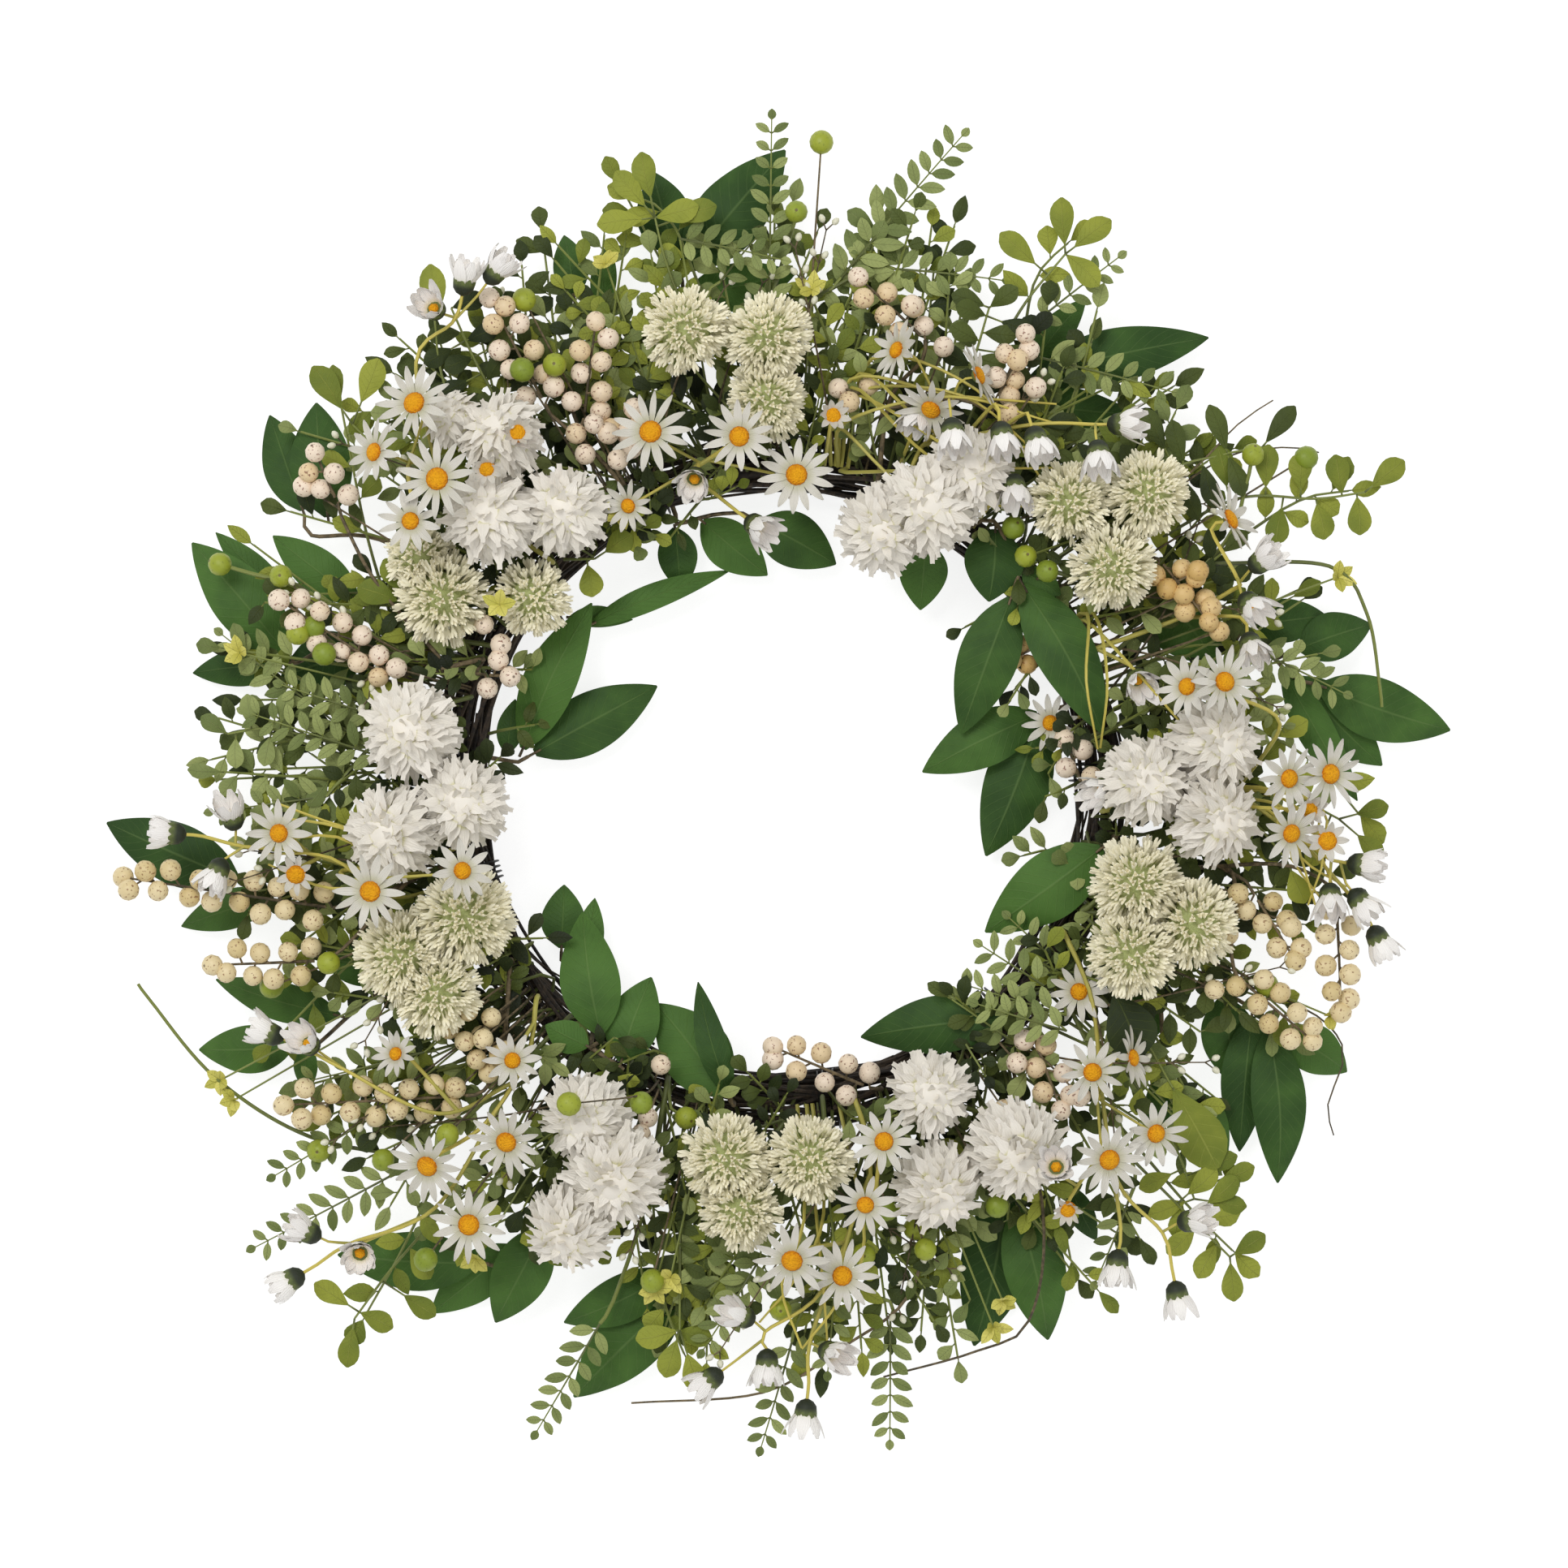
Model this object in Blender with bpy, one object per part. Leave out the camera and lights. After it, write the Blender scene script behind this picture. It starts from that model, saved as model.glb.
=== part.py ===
"""An artificial chrysanthemum and daisy wreath, lying on its back with its flowers facing up.

X runs to the wreath's right and Y to its top, as it hangs, and Z out of the wall towards the viewer.
All lengths in this file are in millimetres, and become metres when a mesh is made.

A ring of bound dark twigs carries everything. Each bunch, spray or leafy stem stands on the ring with
a foot of its own and fans out above its neighbours' stems, in the order that the levels below give:
large leaves lowest, then ferns, then berries, then the round heads, with daisies and buds on top.
"""

import math
import random

import bmesh
import bpy
from mathutils import Matrix, Vector
from mathutils.bvhtree import BVHTree

MM = 0.001

# The twig ring: ridged strands wound round a circle, flat where it lies on its back
RING_RADIUS = 145.0
RING_HALF_WIDTH = 14.5
RING_CENTRE_Z = 13.0
RING_VALLEY = 0.86
RING_SIDES = 8
RING_STEPS = 38
RING_TURNS = 5
RING_FLAT_Z = 2.0

# Clear space between a foot and the ring that it stands on
SEAT_GAP = 0.35

# Heights of the stems' level stretches over the ring, and where leaf stems meet its flanks
FERN_RUN_Z = 32.5
BERRY_RUN_Z = 36.8
DAISY_RUN_Z = 41.0
LEAF_SEAT_Z = 13.0

# Everything sinks a little towards the rims, as the outer sprigs hang back
DROOP = 7.0
DROOP_FROM, DROOP_TO = 170.0, 300.0

# Side stems are thin enough to start wholly inside the main ones
POST = 2.1
STEM = 1.9
THIN_STEM = 0.9
SIDE_STEM_SPACING = 4.0
CREAM_BERRY = 9.7
LIME_BERRY = 10.8

# An icosahedron's loops from end to end: radius and height, as shares of its corners' radius
BALL_LOOPS = ((0.607, -0.795), (0.982, -0.188), (0.982, 0.188), (0.607, 0.795))
BALL_SWELL = 0.54

# Faces within this angle of each other are joined before a mesh is split into triangles
FLAT_WITHIN = math.radians(4)

TWIG_BROWN = (0.07, 0.05, 0.035)
LEAF_GREEN = (0.05, 0.17, 0.06)
FERN_GREEN = (0.24, 0.33, 0.12)
PETAL_WHITE = (0.86, 0.84, 0.8)
ALLIUM_CREAM = (0.68, 0.72, 0.5)
DAISY_WHITE = (0.8, 0.84, 0.82)
BERRY_CREAM = (0.8, 0.64, 0.42)

draw = random.Random(7)


def polar(radius, degrees):
    return radius * math.cos(math.radians(degrees)), radius * math.sin(math.radians(degrees))


def frame_along(direction, up=Vector((0, 0, 1))):
    """A rotation whose Z runs along the direction, whose Y points upwards and whose X lies level."""
    z = Vector(direction).normalized()
    x = up.cross(z)
    if x.length < 1e-3:
        x = Vector((1, 0, 0)) - z * z.x
    x.normalize()
    return Matrix((x, z.cross(x), z)).transposed()


def turned(frame, radians):
    return frame @ Matrix.Rotation(radians, 3, "Z")


def drooped(point):
    """The point, lowered by how far it lies outside the ring."""
    share = (math.hypot(point.x, point.y) - DROOP_FROM) / (DROOP_TO - DROOP_FROM)
    share = min(max(share, 0.0), 1.2)
    return point - Vector((0, 0, DROOP * share * share))


def partway(points, length):
    """The point this far along a path."""
    for a, b in zip(points, points[1:]):
        step = (b - a).length
        if length <= step:
            return a.lerp(b, length / step)
        length -= step
    return points[-1]


def path_length(points):
    return sum((b - a).length for a, b in zip(points, points[1:]))


def circle(frame, centre, radius, high=0.0, count=3, turn=0.0):
    """Points round a frame's Z, from the frame's Y on, at this height along it."""
    angles = [2 * math.pi * (i + turn) / count + math.pi / 2 for i in range(count)]
    return [centre + frame @ Vector((radius * math.cos(a), radius * math.sin(a), high)) for a in angles]


def band(a, n, b, m):
    """Triangles between a loop of n points from index a and a loop of m points from index b."""
    faces = []
    i = j = 0
    while i < n or j < m:
        if j == m or (i < n and (i + 1) / n <= (j + 1) / m):
            if n > 1:
                faces.append((a + i, a + (i + 1) % n, b + j % m))
            i += 1
        else:
            if m > 1:
                faces.append((a + i % n, b + (j + 1) % m, b + j))
            j += 1
    return faces


def skin(loops, leaflets=None):
    """A closed body through loops of points, which may differ in number. One point alone is a tip.

    Leaflets give, for a loop of three whose first point is uppermost, the tips of the right and the
    left leaflet that stand out between it and the next loop.
    """
    vertices = [p for loop in loops for p in loop]
    faces = [tuple(range(len(loops[0])))]
    a = 0
    for k, (loop, after) in enumerate(zip(loops, loops[1:])):
        b = a + len(loop)
        if leaflets and k in leaflets:
            tip = len(vertices)
            vertices += leaflets[k]
            for quad in ((a, a + 1, b + 1, b), (a + 2, a, b, b + 2)):
                faces += [(quad[i], quad[(i + 1) % 4], tip) for i in range(4)]
                tip += 1
            faces += [(a + 1, a + 2, b + 1), (a + 2, b + 2, b + 1)]
        else:
            faces += band(a, len(loop), b, len(after))
        a = b
    if len(loops[-1]) > 2:
        faces.append(tuple(range(a, a + len(loops[-1]))))
    return vertices, faces


def trail(points, radii, frame):
    """Loops of a stem along points. It turns so as to go on smoothly into the frame given."""
    loops = []
    across = frame.col[0].copy()
    last = len(points) - 1
    for i in range(last, -1, -1):
        way = (points[min(i + 1, last)] - points[max(i - 1, 0)]).normalized()
        across = (across - way * across.dot(way)).normalized()
        here = Matrix((across, way.cross(across), way)).transposed()
        loops.append(circle(here, points[i], radii[i]))
    return loops[::-1]


# What a stem can end in: each gives a frame, the loops that its body goes on through, and any leaflets


def berries(*centres, diameter=CREAM_BERRY, facing=(0, 0.01, 1)):
    """Several berries on a string, or one that faces away from its stem."""
    centres = [Vector(c) for c in centres]
    radius = diameter * BALL_SWELL
    last = len(centres) - 1
    loops = []
    frame = frame_along(centres[1] - centres[0] if last else facing)
    across, turn = frame.col[0].copy(), 0.0
    for i, centre in enumerate(centres):
        way = (centres[min(i + 1, last)] - centres[max(i - 1, 0)]).normalized() if last else frame.col[2]
        across = (across - way * across.dot(way)).normalized()
        here = Matrix((across, way.cross(across), way)).transposed()
        if i == 0:
            loops.append(circle(here, centre, THIN_STEM, -radius * 0.96))
        else:
            loops.append(circle(here, (centres[i - 1] + centre) / 2, THIN_STEM, turn=turn))
        for wide, high in BALL_LOOPS:
            loops.append(circle(here, centre, radius * wide, radius * high, turn=turn))
            turn += 0.5
    return frame, loops


def leaf(base, tip, width, rise=5.0):
    """A pointed leaf from base to tip, with a ridge along its rib and a level underside."""
    base, tip = Vector(base), Vector(tip)
    sections = 4 if width > 22 else 3
    frame = frame_along(tip - base)
    left, up = frame.col[0], frame.col[1]
    loops = [circle(frame, base, THIN_STEM)]
    for i in range(sections):
        t = (i + 0.75) / (sections + 0.15)
        middle = base.lerp(tip, t) + Vector((0, 0, rise * math.sin(math.pi * t)))
        half = width / 2 * math.sin(math.pi * t**0.85) ** 0.7
        ridge = 0.1 * half + 1.1
        loops.append([middle + up * ridge, middle - left * half, middle + left * half])
    loops.append([tip])
    return frame, loops


def frond(base, tip, leaflet, pairs, rise=4.0):
    """A fern frond: pairs of pointed leaflets along a thin rib."""
    base, tip = Vector(base), Vector(tip)
    frame = frame_along(tip - base)
    left, up, along = frame.col
    step = (tip - base).length / (pairs + 0.6)
    loops, leaflets = [], {}
    for i in range(pairs + 1):
        t = i / (pairs + 0.6)
        middle = base.lerp(tip, t) + Vector((0, 0, rise * math.sin(math.pi * t)))
        loops.append([middle + up * 1.3, middle - left * 0.9, middle + left * 0.9])
        if i < pairs:
            length = leaflet * (1.0 - 0.45 * t * t)
            out = middle + along * (0.7 * step + 0.45 * length) + Vector((0, 0, 1.2))
            leaflets[i] = [out - left * length, out + left * length]
    loops.append([tip])
    return frame, loops, leaflets


def rosette(centre, diameter, facing, around, rows, valley, lift):
    """A ball of points in rows. The points of each row stand over the gaps of the row below."""
    frame = turned(frame_along(facing), draw.uniform(0, 1))
    radius = diameter / 2
    loops = [circle(frame, Vector(centre), THIN_STEM * 1.5, -radius * 0.8)]
    for j, row in enumerate(rows):
        loop = []
        for i in range(around):
            is_tip = (i + j) % 2 == 0
            high = math.radians(row + (lift if is_tip else 0))
            r = radius * (draw.uniform(0.95, 1.05) if is_tip else valley)
            turn = i * 3 / around
            loop += circle(frame, Vector(centre), r * math.cos(high), r * math.sin(high), turn=turn)[:1]
        loops.append(loop)
    loops.append([Vector(centre) + frame.col[2] * radius * 0.84])
    return frame, loops


def mum(centre, diameter, facing):
    """A chrysanthemum: broad pointed petals in layers, curving upwards."""
    return rosette(centre, diameter, facing, 12, (-26, 6, 36, 64), 0.74, 11)


def allium(centre, diameter, facing):
    """A round head of close-set florets, each a blunt spike."""
    return rosette(centre, diameter, facing, 12, (-32, -4, 24, 54), 0.78, 3)


def daisy(centre, diameter, facing, cup=0.12):
    """Narrow petals round a domed centre. With more cup, the petals close upwards."""
    frame = turned(frame_along(facing), draw.uniform(0, 1))
    radius = diameter / 2
    centre = Vector(centre)
    petals = 6 if diameter < 21 else 7 if diameter < 33 else 8
    tips = circle(frame, centre, radius * math.cos(cup * 0.9), radius * math.sin(cup * 1.2), petals)
    gaps = circle(frame, centre, radius * 0.42, radius * 0.1 * (1 + 3 * cup), petals, 0.5)
    rim = [p for pair in zip(tips, gaps) for p in pair]
    dome = circle(frame, centre, 0.28 * radius, 1.9)
    loops = [circle(frame, centre, THIN_STEM, -2.2), rim, dome, [centre + frame.col[2] * 3.1]]
    return frame, loops


def bud(centre, facing, size=15.0):
    """A half-closed daisy: a cup that ends in four points."""
    frame = frame_along(facing)
    centre = Vector(centre)
    loops = [
        circle(frame, centre, THIN_STEM, -size * 0.5),
        circle(frame, centre, size * 0.42, -size * 0.12, 4),
        circle(frame, centre, size * 0.47, size * 0.55, 4, 0.5),
        [centre + frame.col[2] * size * 0.3],
    ]
    return frame, loops


def small_leaf(base, tip, width, thickness=1.6):
    """A small blunt leaf of eight faces."""
    base, tip = Vector(base), Vector(tip)
    side = (tip - base).cross(Vector((0, 0, 1))).normalized() * width / 2
    middle = base.lerp(tip, 0.58)
    up = Vector((0, 0, thickness / 2))
    vertices = [base, middle - side + up, tip, middle + side + up, middle + up, middle - up]
    faces = []
    for k in range(4):
        faces.append((k, (k + 1) % 4, 4))
        faces.append(((k + 1) % 4, k, 5))
    return vertices, faces


def mesh_of(name, solid):
    """A mesh in metres, with its faces turned outwards."""
    vertices, faces = solid
    bm = bmesh.new()
    made = [bm.verts.new(v * MM) for v in vertices]
    for face in faces:
        bm.faces.new([made[i] for i in face])
    bmesh.ops.recalc_face_normals(bm, faces=bm.faces)
    if bm.calc_volume(signed=True) < 0:
        bmesh.ops.reverse_faces(bm, faces=bm.faces)
    mesh = bpy.data.meshes.new(name)
    bm.to_mesh(mesh)
    bm.free()
    return mesh


def islands(bm):
    """The bodies of a mesh, as lists of faces."""
    left, found = set(bm.faces), []
    while left:
        island, edge = set(), [next(iter(left))]
        while edge:
            face = edge.pop()
            if face in island:
                continue
            island.add(face)
            edge += [f for e in face.edges for f in e.link_faces if f not in island]
        left -= island
        found.append(list(island))
    return found


def fused_mesh(name, solids):
    """One closed body from solids that overlap. Pockets that they seal are filled, and scraps dropped."""
    first = bpy.data.objects.new(name, mesh_of(name, solids[0]))
    bpy.context.scene.collection.objects.link(first)
    others = bpy.data.collections.new(name)
    bpy.context.scene.collection.children.link(others)
    for solid in solids[1:]:
        others.objects.link(bpy.data.objects.new(name, mesh_of(name, solid)))
    if len(others.objects):
        join = first.modifiers.new("join", "BOOLEAN")
        join.operation = "UNION"
        join.operand_type = "COLLECTION"
        join.collection = others
        join.solver = "MANIFOLD"
    depsgraph = bpy.context.evaluated_depsgraph_get()
    mesh = bpy.data.meshes.new_from_object(first.evaluated_get(depsgraph))
    for obj in [first, *others.objects]:
        bpy.data.objects.remove(obj)
    bpy.data.collections.remove(others)

    bm = bmesh.new()
    bm.from_mesh(mesh)
    bmesh.ops.dissolve_limit(bm, angle_limit=FLAT_WITHIN, verts=bm.verts, edges=bm.edges)
    bmesh.ops.triangulate(bm, faces=bm.faces)
    bodies = sorted(islands(bm), key=len)
    bmesh.ops.delete(bm, geom=[f for body in bodies[:-1] for f in body], context="FACES")
    bm.to_mesh(mesh)
    bm.free()
    return mesh


def material(name, colour, roughness):
    made = bpy.data.materials.new(name)
    made.use_nodes = True
    shader = made.node_tree.nodes["Principled BSDF"]
    shader.inputs["Base Color"].default_value = (*colour, 1)
    shader.inputs["Roughness"].default_value = roughness
    shader.inputs["Metallic"].default_value = 0.0
    made.diffuse_color = (*colour, 1)
    return made


def show(name, mesh, colour, roughness):
    obj = bpy.data.objects.new(name, mesh)
    bpy.context.scene.collection.objects.link(obj)
    mesh.materials.clear()
    mesh.materials.append(material(name, colour, roughness))
    return obj


def ring_solid():
    """Twisted strands of twigs: a ring whose ridges wind round it, with a flat back to lie on."""
    vertices, faces = [], []
    for j in range(RING_STEPS):
        angle = 2 * math.pi * j / RING_STEPS
        for k in range(RING_SIDES):
            across = 2 * math.pi * k / RING_SIDES + RING_TURNS * angle
            size = RING_HALF_WIDTH * (1 if k % 2 == 0 else RING_VALLEY)
            r = RING_RADIUS + size * math.cos(across)
            z = RING_CENTRE_Z + size * math.sin(across)
            vertices.append(Vector((r * math.cos(angle), r * math.sin(angle), max(z, RING_FLAT_Z))))
    count = len(vertices)
    for j in range(RING_STEPS):
        for k in range(RING_SIDES):
            a, b = j * RING_SIDES + k, j * RING_SIDES + (k + 1) % RING_SIDES
            c, d = (a + RING_SIDES) % count, (b + RING_SIDES) % count
            faces += [(a, c, b), (b, c, d)]
    return [v - Vector((0, 0, RING_FLAT_Z)) for v in vertices], faces


class Sprig:
    """What grows from one foot on the ring: its stems and all that they carry."""

    def __init__(self, name, colour, roughness):
        self.name, self.colour, self.roughness = name, colour, roughness
        self.bodies = []

    def foot(self, x, y, z):
        """Where a post stands on the ring at x, y, and its top at z."""
        spots = [Vector((x, y, 80))] + [
            Vector((x + POST * math.cos(a), y + POST * math.sin(a), 80)) for a in range(19)
        ]
        seats = [RING_SURFACE.ray_cast(spot, Vector((0, 0, -1)))[0] for spot in spots]
        seat = max(hit.z for hit in seats if hit)
        return [Vector((x, y, seat + SEAT_GAP)), Vector((x, y, z))]

    def side_seat(self, degrees, outside=True):
        """Where a stem starts at the ring's outer or inner flank, with the gap between them."""
        out = Vector((*polar(1, degrees), 0))
        far = RING_RADIUS + (50 if outside else -50)
        way = -out if outside else out
        across = Vector((-out.y, out.x, 0)) * STEM
        level = Vector((0, 0, LEAF_SEAT_Z))
        spots = [out * far + level + across * i + Vector((0, 0, STEM * k))
                 for i in (-1, -0.5, 0, 0.5, 1) for k in (-1, -0.5, 0, 0.5, 1)]
        reach = [RING_SURFACE.ray_cast(spot, way)[3] for spot in spots]
        clear = min(r for r in reach if r) - SEAT_GAP
        seat = far + (-clear if outside else clear)
        return [out * seat + level, out * (seat + (STEM if outside else -STEM)) + level]

    def grow(self, points, end, posts=0, radius=STEM):
        """A stem along points into what it ends in. Its first points may be those of a thicker post."""
        frame, loops, *leaflets = end
        points = [Vector(p) for p in points]
        joint = sum(loops[0], Vector((0, 0, 0))) / len(loops[0])
        radii = [POST] * posts + [radius] * (len(points) + 1 - posts)
        stem = trail([*points, joint], radii, frame)[:-1]
        tips = {k + len(stem): pair for k, pair in leaflets[0].items()} if leaflets else None
        self.bodies.append(skin(stem + loops, tips))
        return [*points, joint]

    def twig(self, points, radius=STEM):
        """A bare stem along points."""
        points = [Vector(p) for p in points]
        frame = frame_along(points[-1] - points[-2])
        self.bodies.append(skin(trail(points, [radius] * len(points), frame)))

    def fan(self, points, ends, posts=0, radius=STEM):
        """A stem along points into the first end. Side stems to the others leave it, a little apart."""
        points = [Vector(p) for p in points]
        main = self.grow(points, ends[0], posts, radius)
        parting = path_length(points)
        for k, end in enumerate(ends[1:]):
            start = partway(main, parting + k * SIDE_STEM_SPACING) if len(points) > 1 else main[0]
            self.grow([start], end, radius=THIN_STEM)
        return main

    def make(self):
        mesh = fused_mesh(self.name, [([drooped(v) for v in vs], fs) for vs, fs in self.bodies])
        return show(self.name, mesh, self.colour, self.roughness)


def lean(x, y, strength=0.012):
    """Which way a head over the ring faces: up, and away from the ring's middle line."""
    out = Vector((x, y, 0)).normalized() * (math.hypot(x, y) - RING_RADIUS) * strength
    return Vector((0, 0, 1)) + out


def round_heads(name, make_head, colour, foot, hub_z, stemmed, resting=(), extras=()):
    """A bunch of round flower heads. Some have stems from the foot, the rest grow into those."""
    sprig = Sprig(name, colour, 0.75)
    ends = [make_head((x, y, z), size, lean(x, y)) for x, y, z, size in stemmed]
    sprig.fan(sprig.foot(*foot, hub_z), ends, posts=2, radius=1.5)
    for x, y, z, size in resting:
        sprig.grow([], make_head((x, y, z), size, lean(x, y)))
    for end in extras:
        sprig.grow([], end)
    sprig.make()


def large_leaves(name, seat, stems, leaves=()):
    """Stems that end in a leaf (tip, width and perhaps rise) or bare, with more leaves beside them.

    A seat is a foot's x, y and height, or the angle and side of a seat at the ring's flank. The first
    stem starts there, and the others at a point that they name. Leaves beside them name their base.
    """
    sprig = Sprig(name, LEAF_GREEN, 0.6)
    seated = sprig.foot(*seat) if len(seat) == 3 else sprig.side_seat(*seat)
    for k, (path, blade) in enumerate(stems):
        path = [*(seated if k == 0 else []), *path]
        posts = 2 if k == 0 and len(seat) == 3 else 0
        if blade:
            sprig.grow(path[:-1], leaf(path[-1], *blade), posts)
        else:
            sprig.twig(path)
    for blade in leaves:
        sprig.grow([], leaf(*blade))
    sprig.make()


bpy.context.scene.unit_settings.system = "METRIC"
for old in list(bpy.data.objects):
    bpy.data.objects.remove(old)

ring_mesh = mesh_of("twig_ring", ring_solid())
show("twig_ring", ring_mesh, TWIG_BROWN, 0.9)
RING_SURFACE = BVHTree.FromPolygons(
    [v.co / MM for v in ring_mesh.vertices], [tuple(p.vertices) for p in ring_mesh.polygons]
)

# Large laurel leaves. Those of the rims start at the ring's flanks and stay low
large_leaves(
    "leaves_top", (100, True),
    [([(-40, 195, 17), (-46, 236, 19)], ((-57, 277, 16), 25)),
     ([(-37, 188, 16.2), (-70, 208, 18), (-92, 218, 19)], ((-97, 248, 16), 16))],
    [((-45, 229, 19), (3, 287, 15), 27, 10), ((-44, 220, 18), (8, 231, 14), 22, 2),
     ((-80, 212, 18.4), (-77, 244, 15), 12, 3)],
)
large_leaves(
    "leaves_upper_left", (148, True),
    [([(-180, 110, 17), (-214, 121, 19)], ((-231, 167, 12), 22, 2))],
    [((-203, 117.4, 18.4), (-209, 172, 18), 28, 9)],
)
large_leaves(
    "leaves_left", (162, True),
    [([(-178, 62, 16), (-205, 60, 17), (-222, 54, 18)], ((-266, 50, 10), 18, 1)),
     ([(-176, 61, 16), (-188, 81, 18)], ((-229, 112, 14), 20)),
     ([(-200, 62, 16.8), (-220, 80, 14)], ((-256, 114, 8), 14, 1))],
    [((-186, 61.4, 16.3), (-226, 48, 8), 27, 0), ((-219, 55, 17.8), (-266, 109, 14), 28, 9)],
)
large_leaves(
    "leaves_inner_left", (175, False),
    [([(-113, 12, 17)], ((-55, 44, 10), 27, 2))],
    [((-117, 12, 17), (-84, 81, 24), 24, 8), ((-123, 12, 15.5), (-119, 38, 14), 12, 1)],
)
large_leaves(
    "leaves_inner_upper_left", (142, False),
    [([(-89, 70, 16)], ((-22, 96, 15), 12, 7))],
    [((-96, 75, 15), (-66, 74, 11), 10, 1)],
)
large_leaves(
    "leaves_inner_top", (111, False),
    [([(-46, 117, 16), (-30, 121, 18), (-11, 119, 18)], ((26, 99, 14), 25))],
    [((-47, 117, 16), (-44, 87, 14), 18, 2), ((-36, 119.5, 17.3), (-5, 94, 13), 22, 6)],
)
large_leaves(
    "leaves_inner_upper_right", (108, 96, 38),
    [([(105, 86, 39)], ((82, 22, 28), 27, 4)),
     ([(107, 92, 38.5), (96, 117, 39), (80, 112, 34), (66, 110, 28)], ((64, 78, 20), 22, 2))],
    [((97, 115, 39), (94, 81, 38), 27, 4), ((107, 92, 38.5), (145, 22, 38), 27, 9),
     ((108, 95, 38), (126, 84, 39), 13, 0)],
)
large_leaves(
    "leaves_inner_right", (15, False),
    [([(119, 32, 17)], ((94, -33, 11), 30, 3))],
    [((120, 32.5, 17), (65, 5, 17), 25, 8)],
)
large_leaves(
    "leaf_inner_right_low", (151, -24, 38.5),
    [([(147, -27, 39)], ((93, -67, 24), 30, 7))],
)
large_leaves(
    "leaves_top_right", (59, True),
    [([(105, 172, 17), (113, 187, 19)], ((139, 219, 17), 15, 3))],
    [((110, 182, 18.4), (195, 202, 14), 25, 9), ((105.5, 173, 17), (161, 167, 12), 20, 2)],
)
large_leaves(
    "leaves_right", (19, True),
    [([(185, 62, 16), (215, 62, 18), (241, 45, 19)], ((305, 24, 14), 28, 7)),
     ([(172, 58, 15), (167, 94, 18)], None),
     ([(205, 62, 17.3), (211, 72, 18)], ((248, 76, 14), 20)),
     ([(224, 56, 18.3), (233, 60, 19)], ((269, 72, 13), 22))],
    [((167.5, 91, 18), (198, 54, 20), 33), ((233, 49.5, 18.6), (274, 8, 11), 26, 1),
     ((226, 54, 18.4), (262, -8, 16), 17, 5)],
)
large_leaves(
    "leaves_lower_right", (-27, True),
    [([(180, -88, 16), (206, -97, 18), (227, -112, 19)], ((258, -131, 13), 22)),
     ([(163, -81, 15), (172, -97, 17), (179, -137, 18)], ((202, -174, 13), 25))],
    [((200, -94.5, 17.6), (207, -137, 10), 25, 2), ((214, -102, 18.4), (209, -167, 13), 22, 5),
     ((221, -107.5, 18.8), (226, -181, 18), 25, 9), ((171, -95, 17), (151, -117, 10), 26, 1),
     ((177, -124, 17.8), (166, -165, 13), 14, 2)],
)
large_leaves(
    "leaf_inner_lower_right", (107, -103, 38),
    [([(104, -104.5, 39)], ((37, -114, 27), 26, 6))],
)
large_leaves(
    "leaves_bottom_right", (-59.3, True),
    [([(100, -168, 17), (107, -187, 19)], ((122, -252, 17), 28, 10)),
     ([(103, -176, 18), (131, -181, 19)], ((144, -207, 15), 12))],
    [((104, -179, 18), (89, -256, 7), 32, 2)],
)
large_leaves(
    "leaves_bottom_left", (246, True),
    [([(-85, -175, 16), (-108, -201, 18), (-132, -217, 19)], ((-200, -214, 14), 27)),
     ([(-75, -160.5, 14.5), (-55, -200, 18), (-42, -229, 19)], ((-93, -279, 11), 30, 7))],
    [((-46, -220, 18.6), (-97, -244, 17), 22, 10), ((-118, -207.5, 18.3), (-158, -241, 9), 22, 1),
     ((-104, -198, 18), (-128, -244, 18), 26, 8)],
)
large_leaves(
    "leaves_lower_left", (201, True),
    [([(-185, -56, 16), (-226, -50, 18), (-241, -45, 19)], ((-305, -18, 14), 28, 7)),
     ([(-160, -57.5, 14), (-172, -85, 16), (-195, -106, 18), (-217, -119, 19)], ((-263, -121, 13), 22))],
    [((-226, -50, 18), (-271, -65, 12), 18), ((-195, -106, 18), (-255, -89, 14), 18),
     ((-172, -85, 16), (-208, -79, 13), 20), ((-213, -117, 19), (-213, -140, 16), 11)],
)
large_leaves(
    "leaves_inner_lower_left", (-84, -118, 38),
    [([(-79, -115, 38.5)], ((-88, -58, 28), 27, 8)),
     ([(-84, -118, 36), (-69, -128, 37)], None),
     ([(-84, -118, 36), (-82, -97, 26), (-90, -86, 19), (-98, -76, 17)], ((-97, -46, 12), 20, 2))],
    [((-71, -126.7, 36.9), (-57, -87, 30), 24, 3), ((-84, -118, 38), (-104, -108, 39), 15, 1),
     ((-90, -86, 19), (-83, -52, 14), 14, 2)],
)
large_leaves(
    "leaves_inner_bottom", (-20, -144, 38),
    [([(-22, -141, 38.8)], ((-55, -99, 26), 31, 3))],
    [((-20.5, -143, 38.5), (-36, -89, 33), 14, 9)],
)

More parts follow.
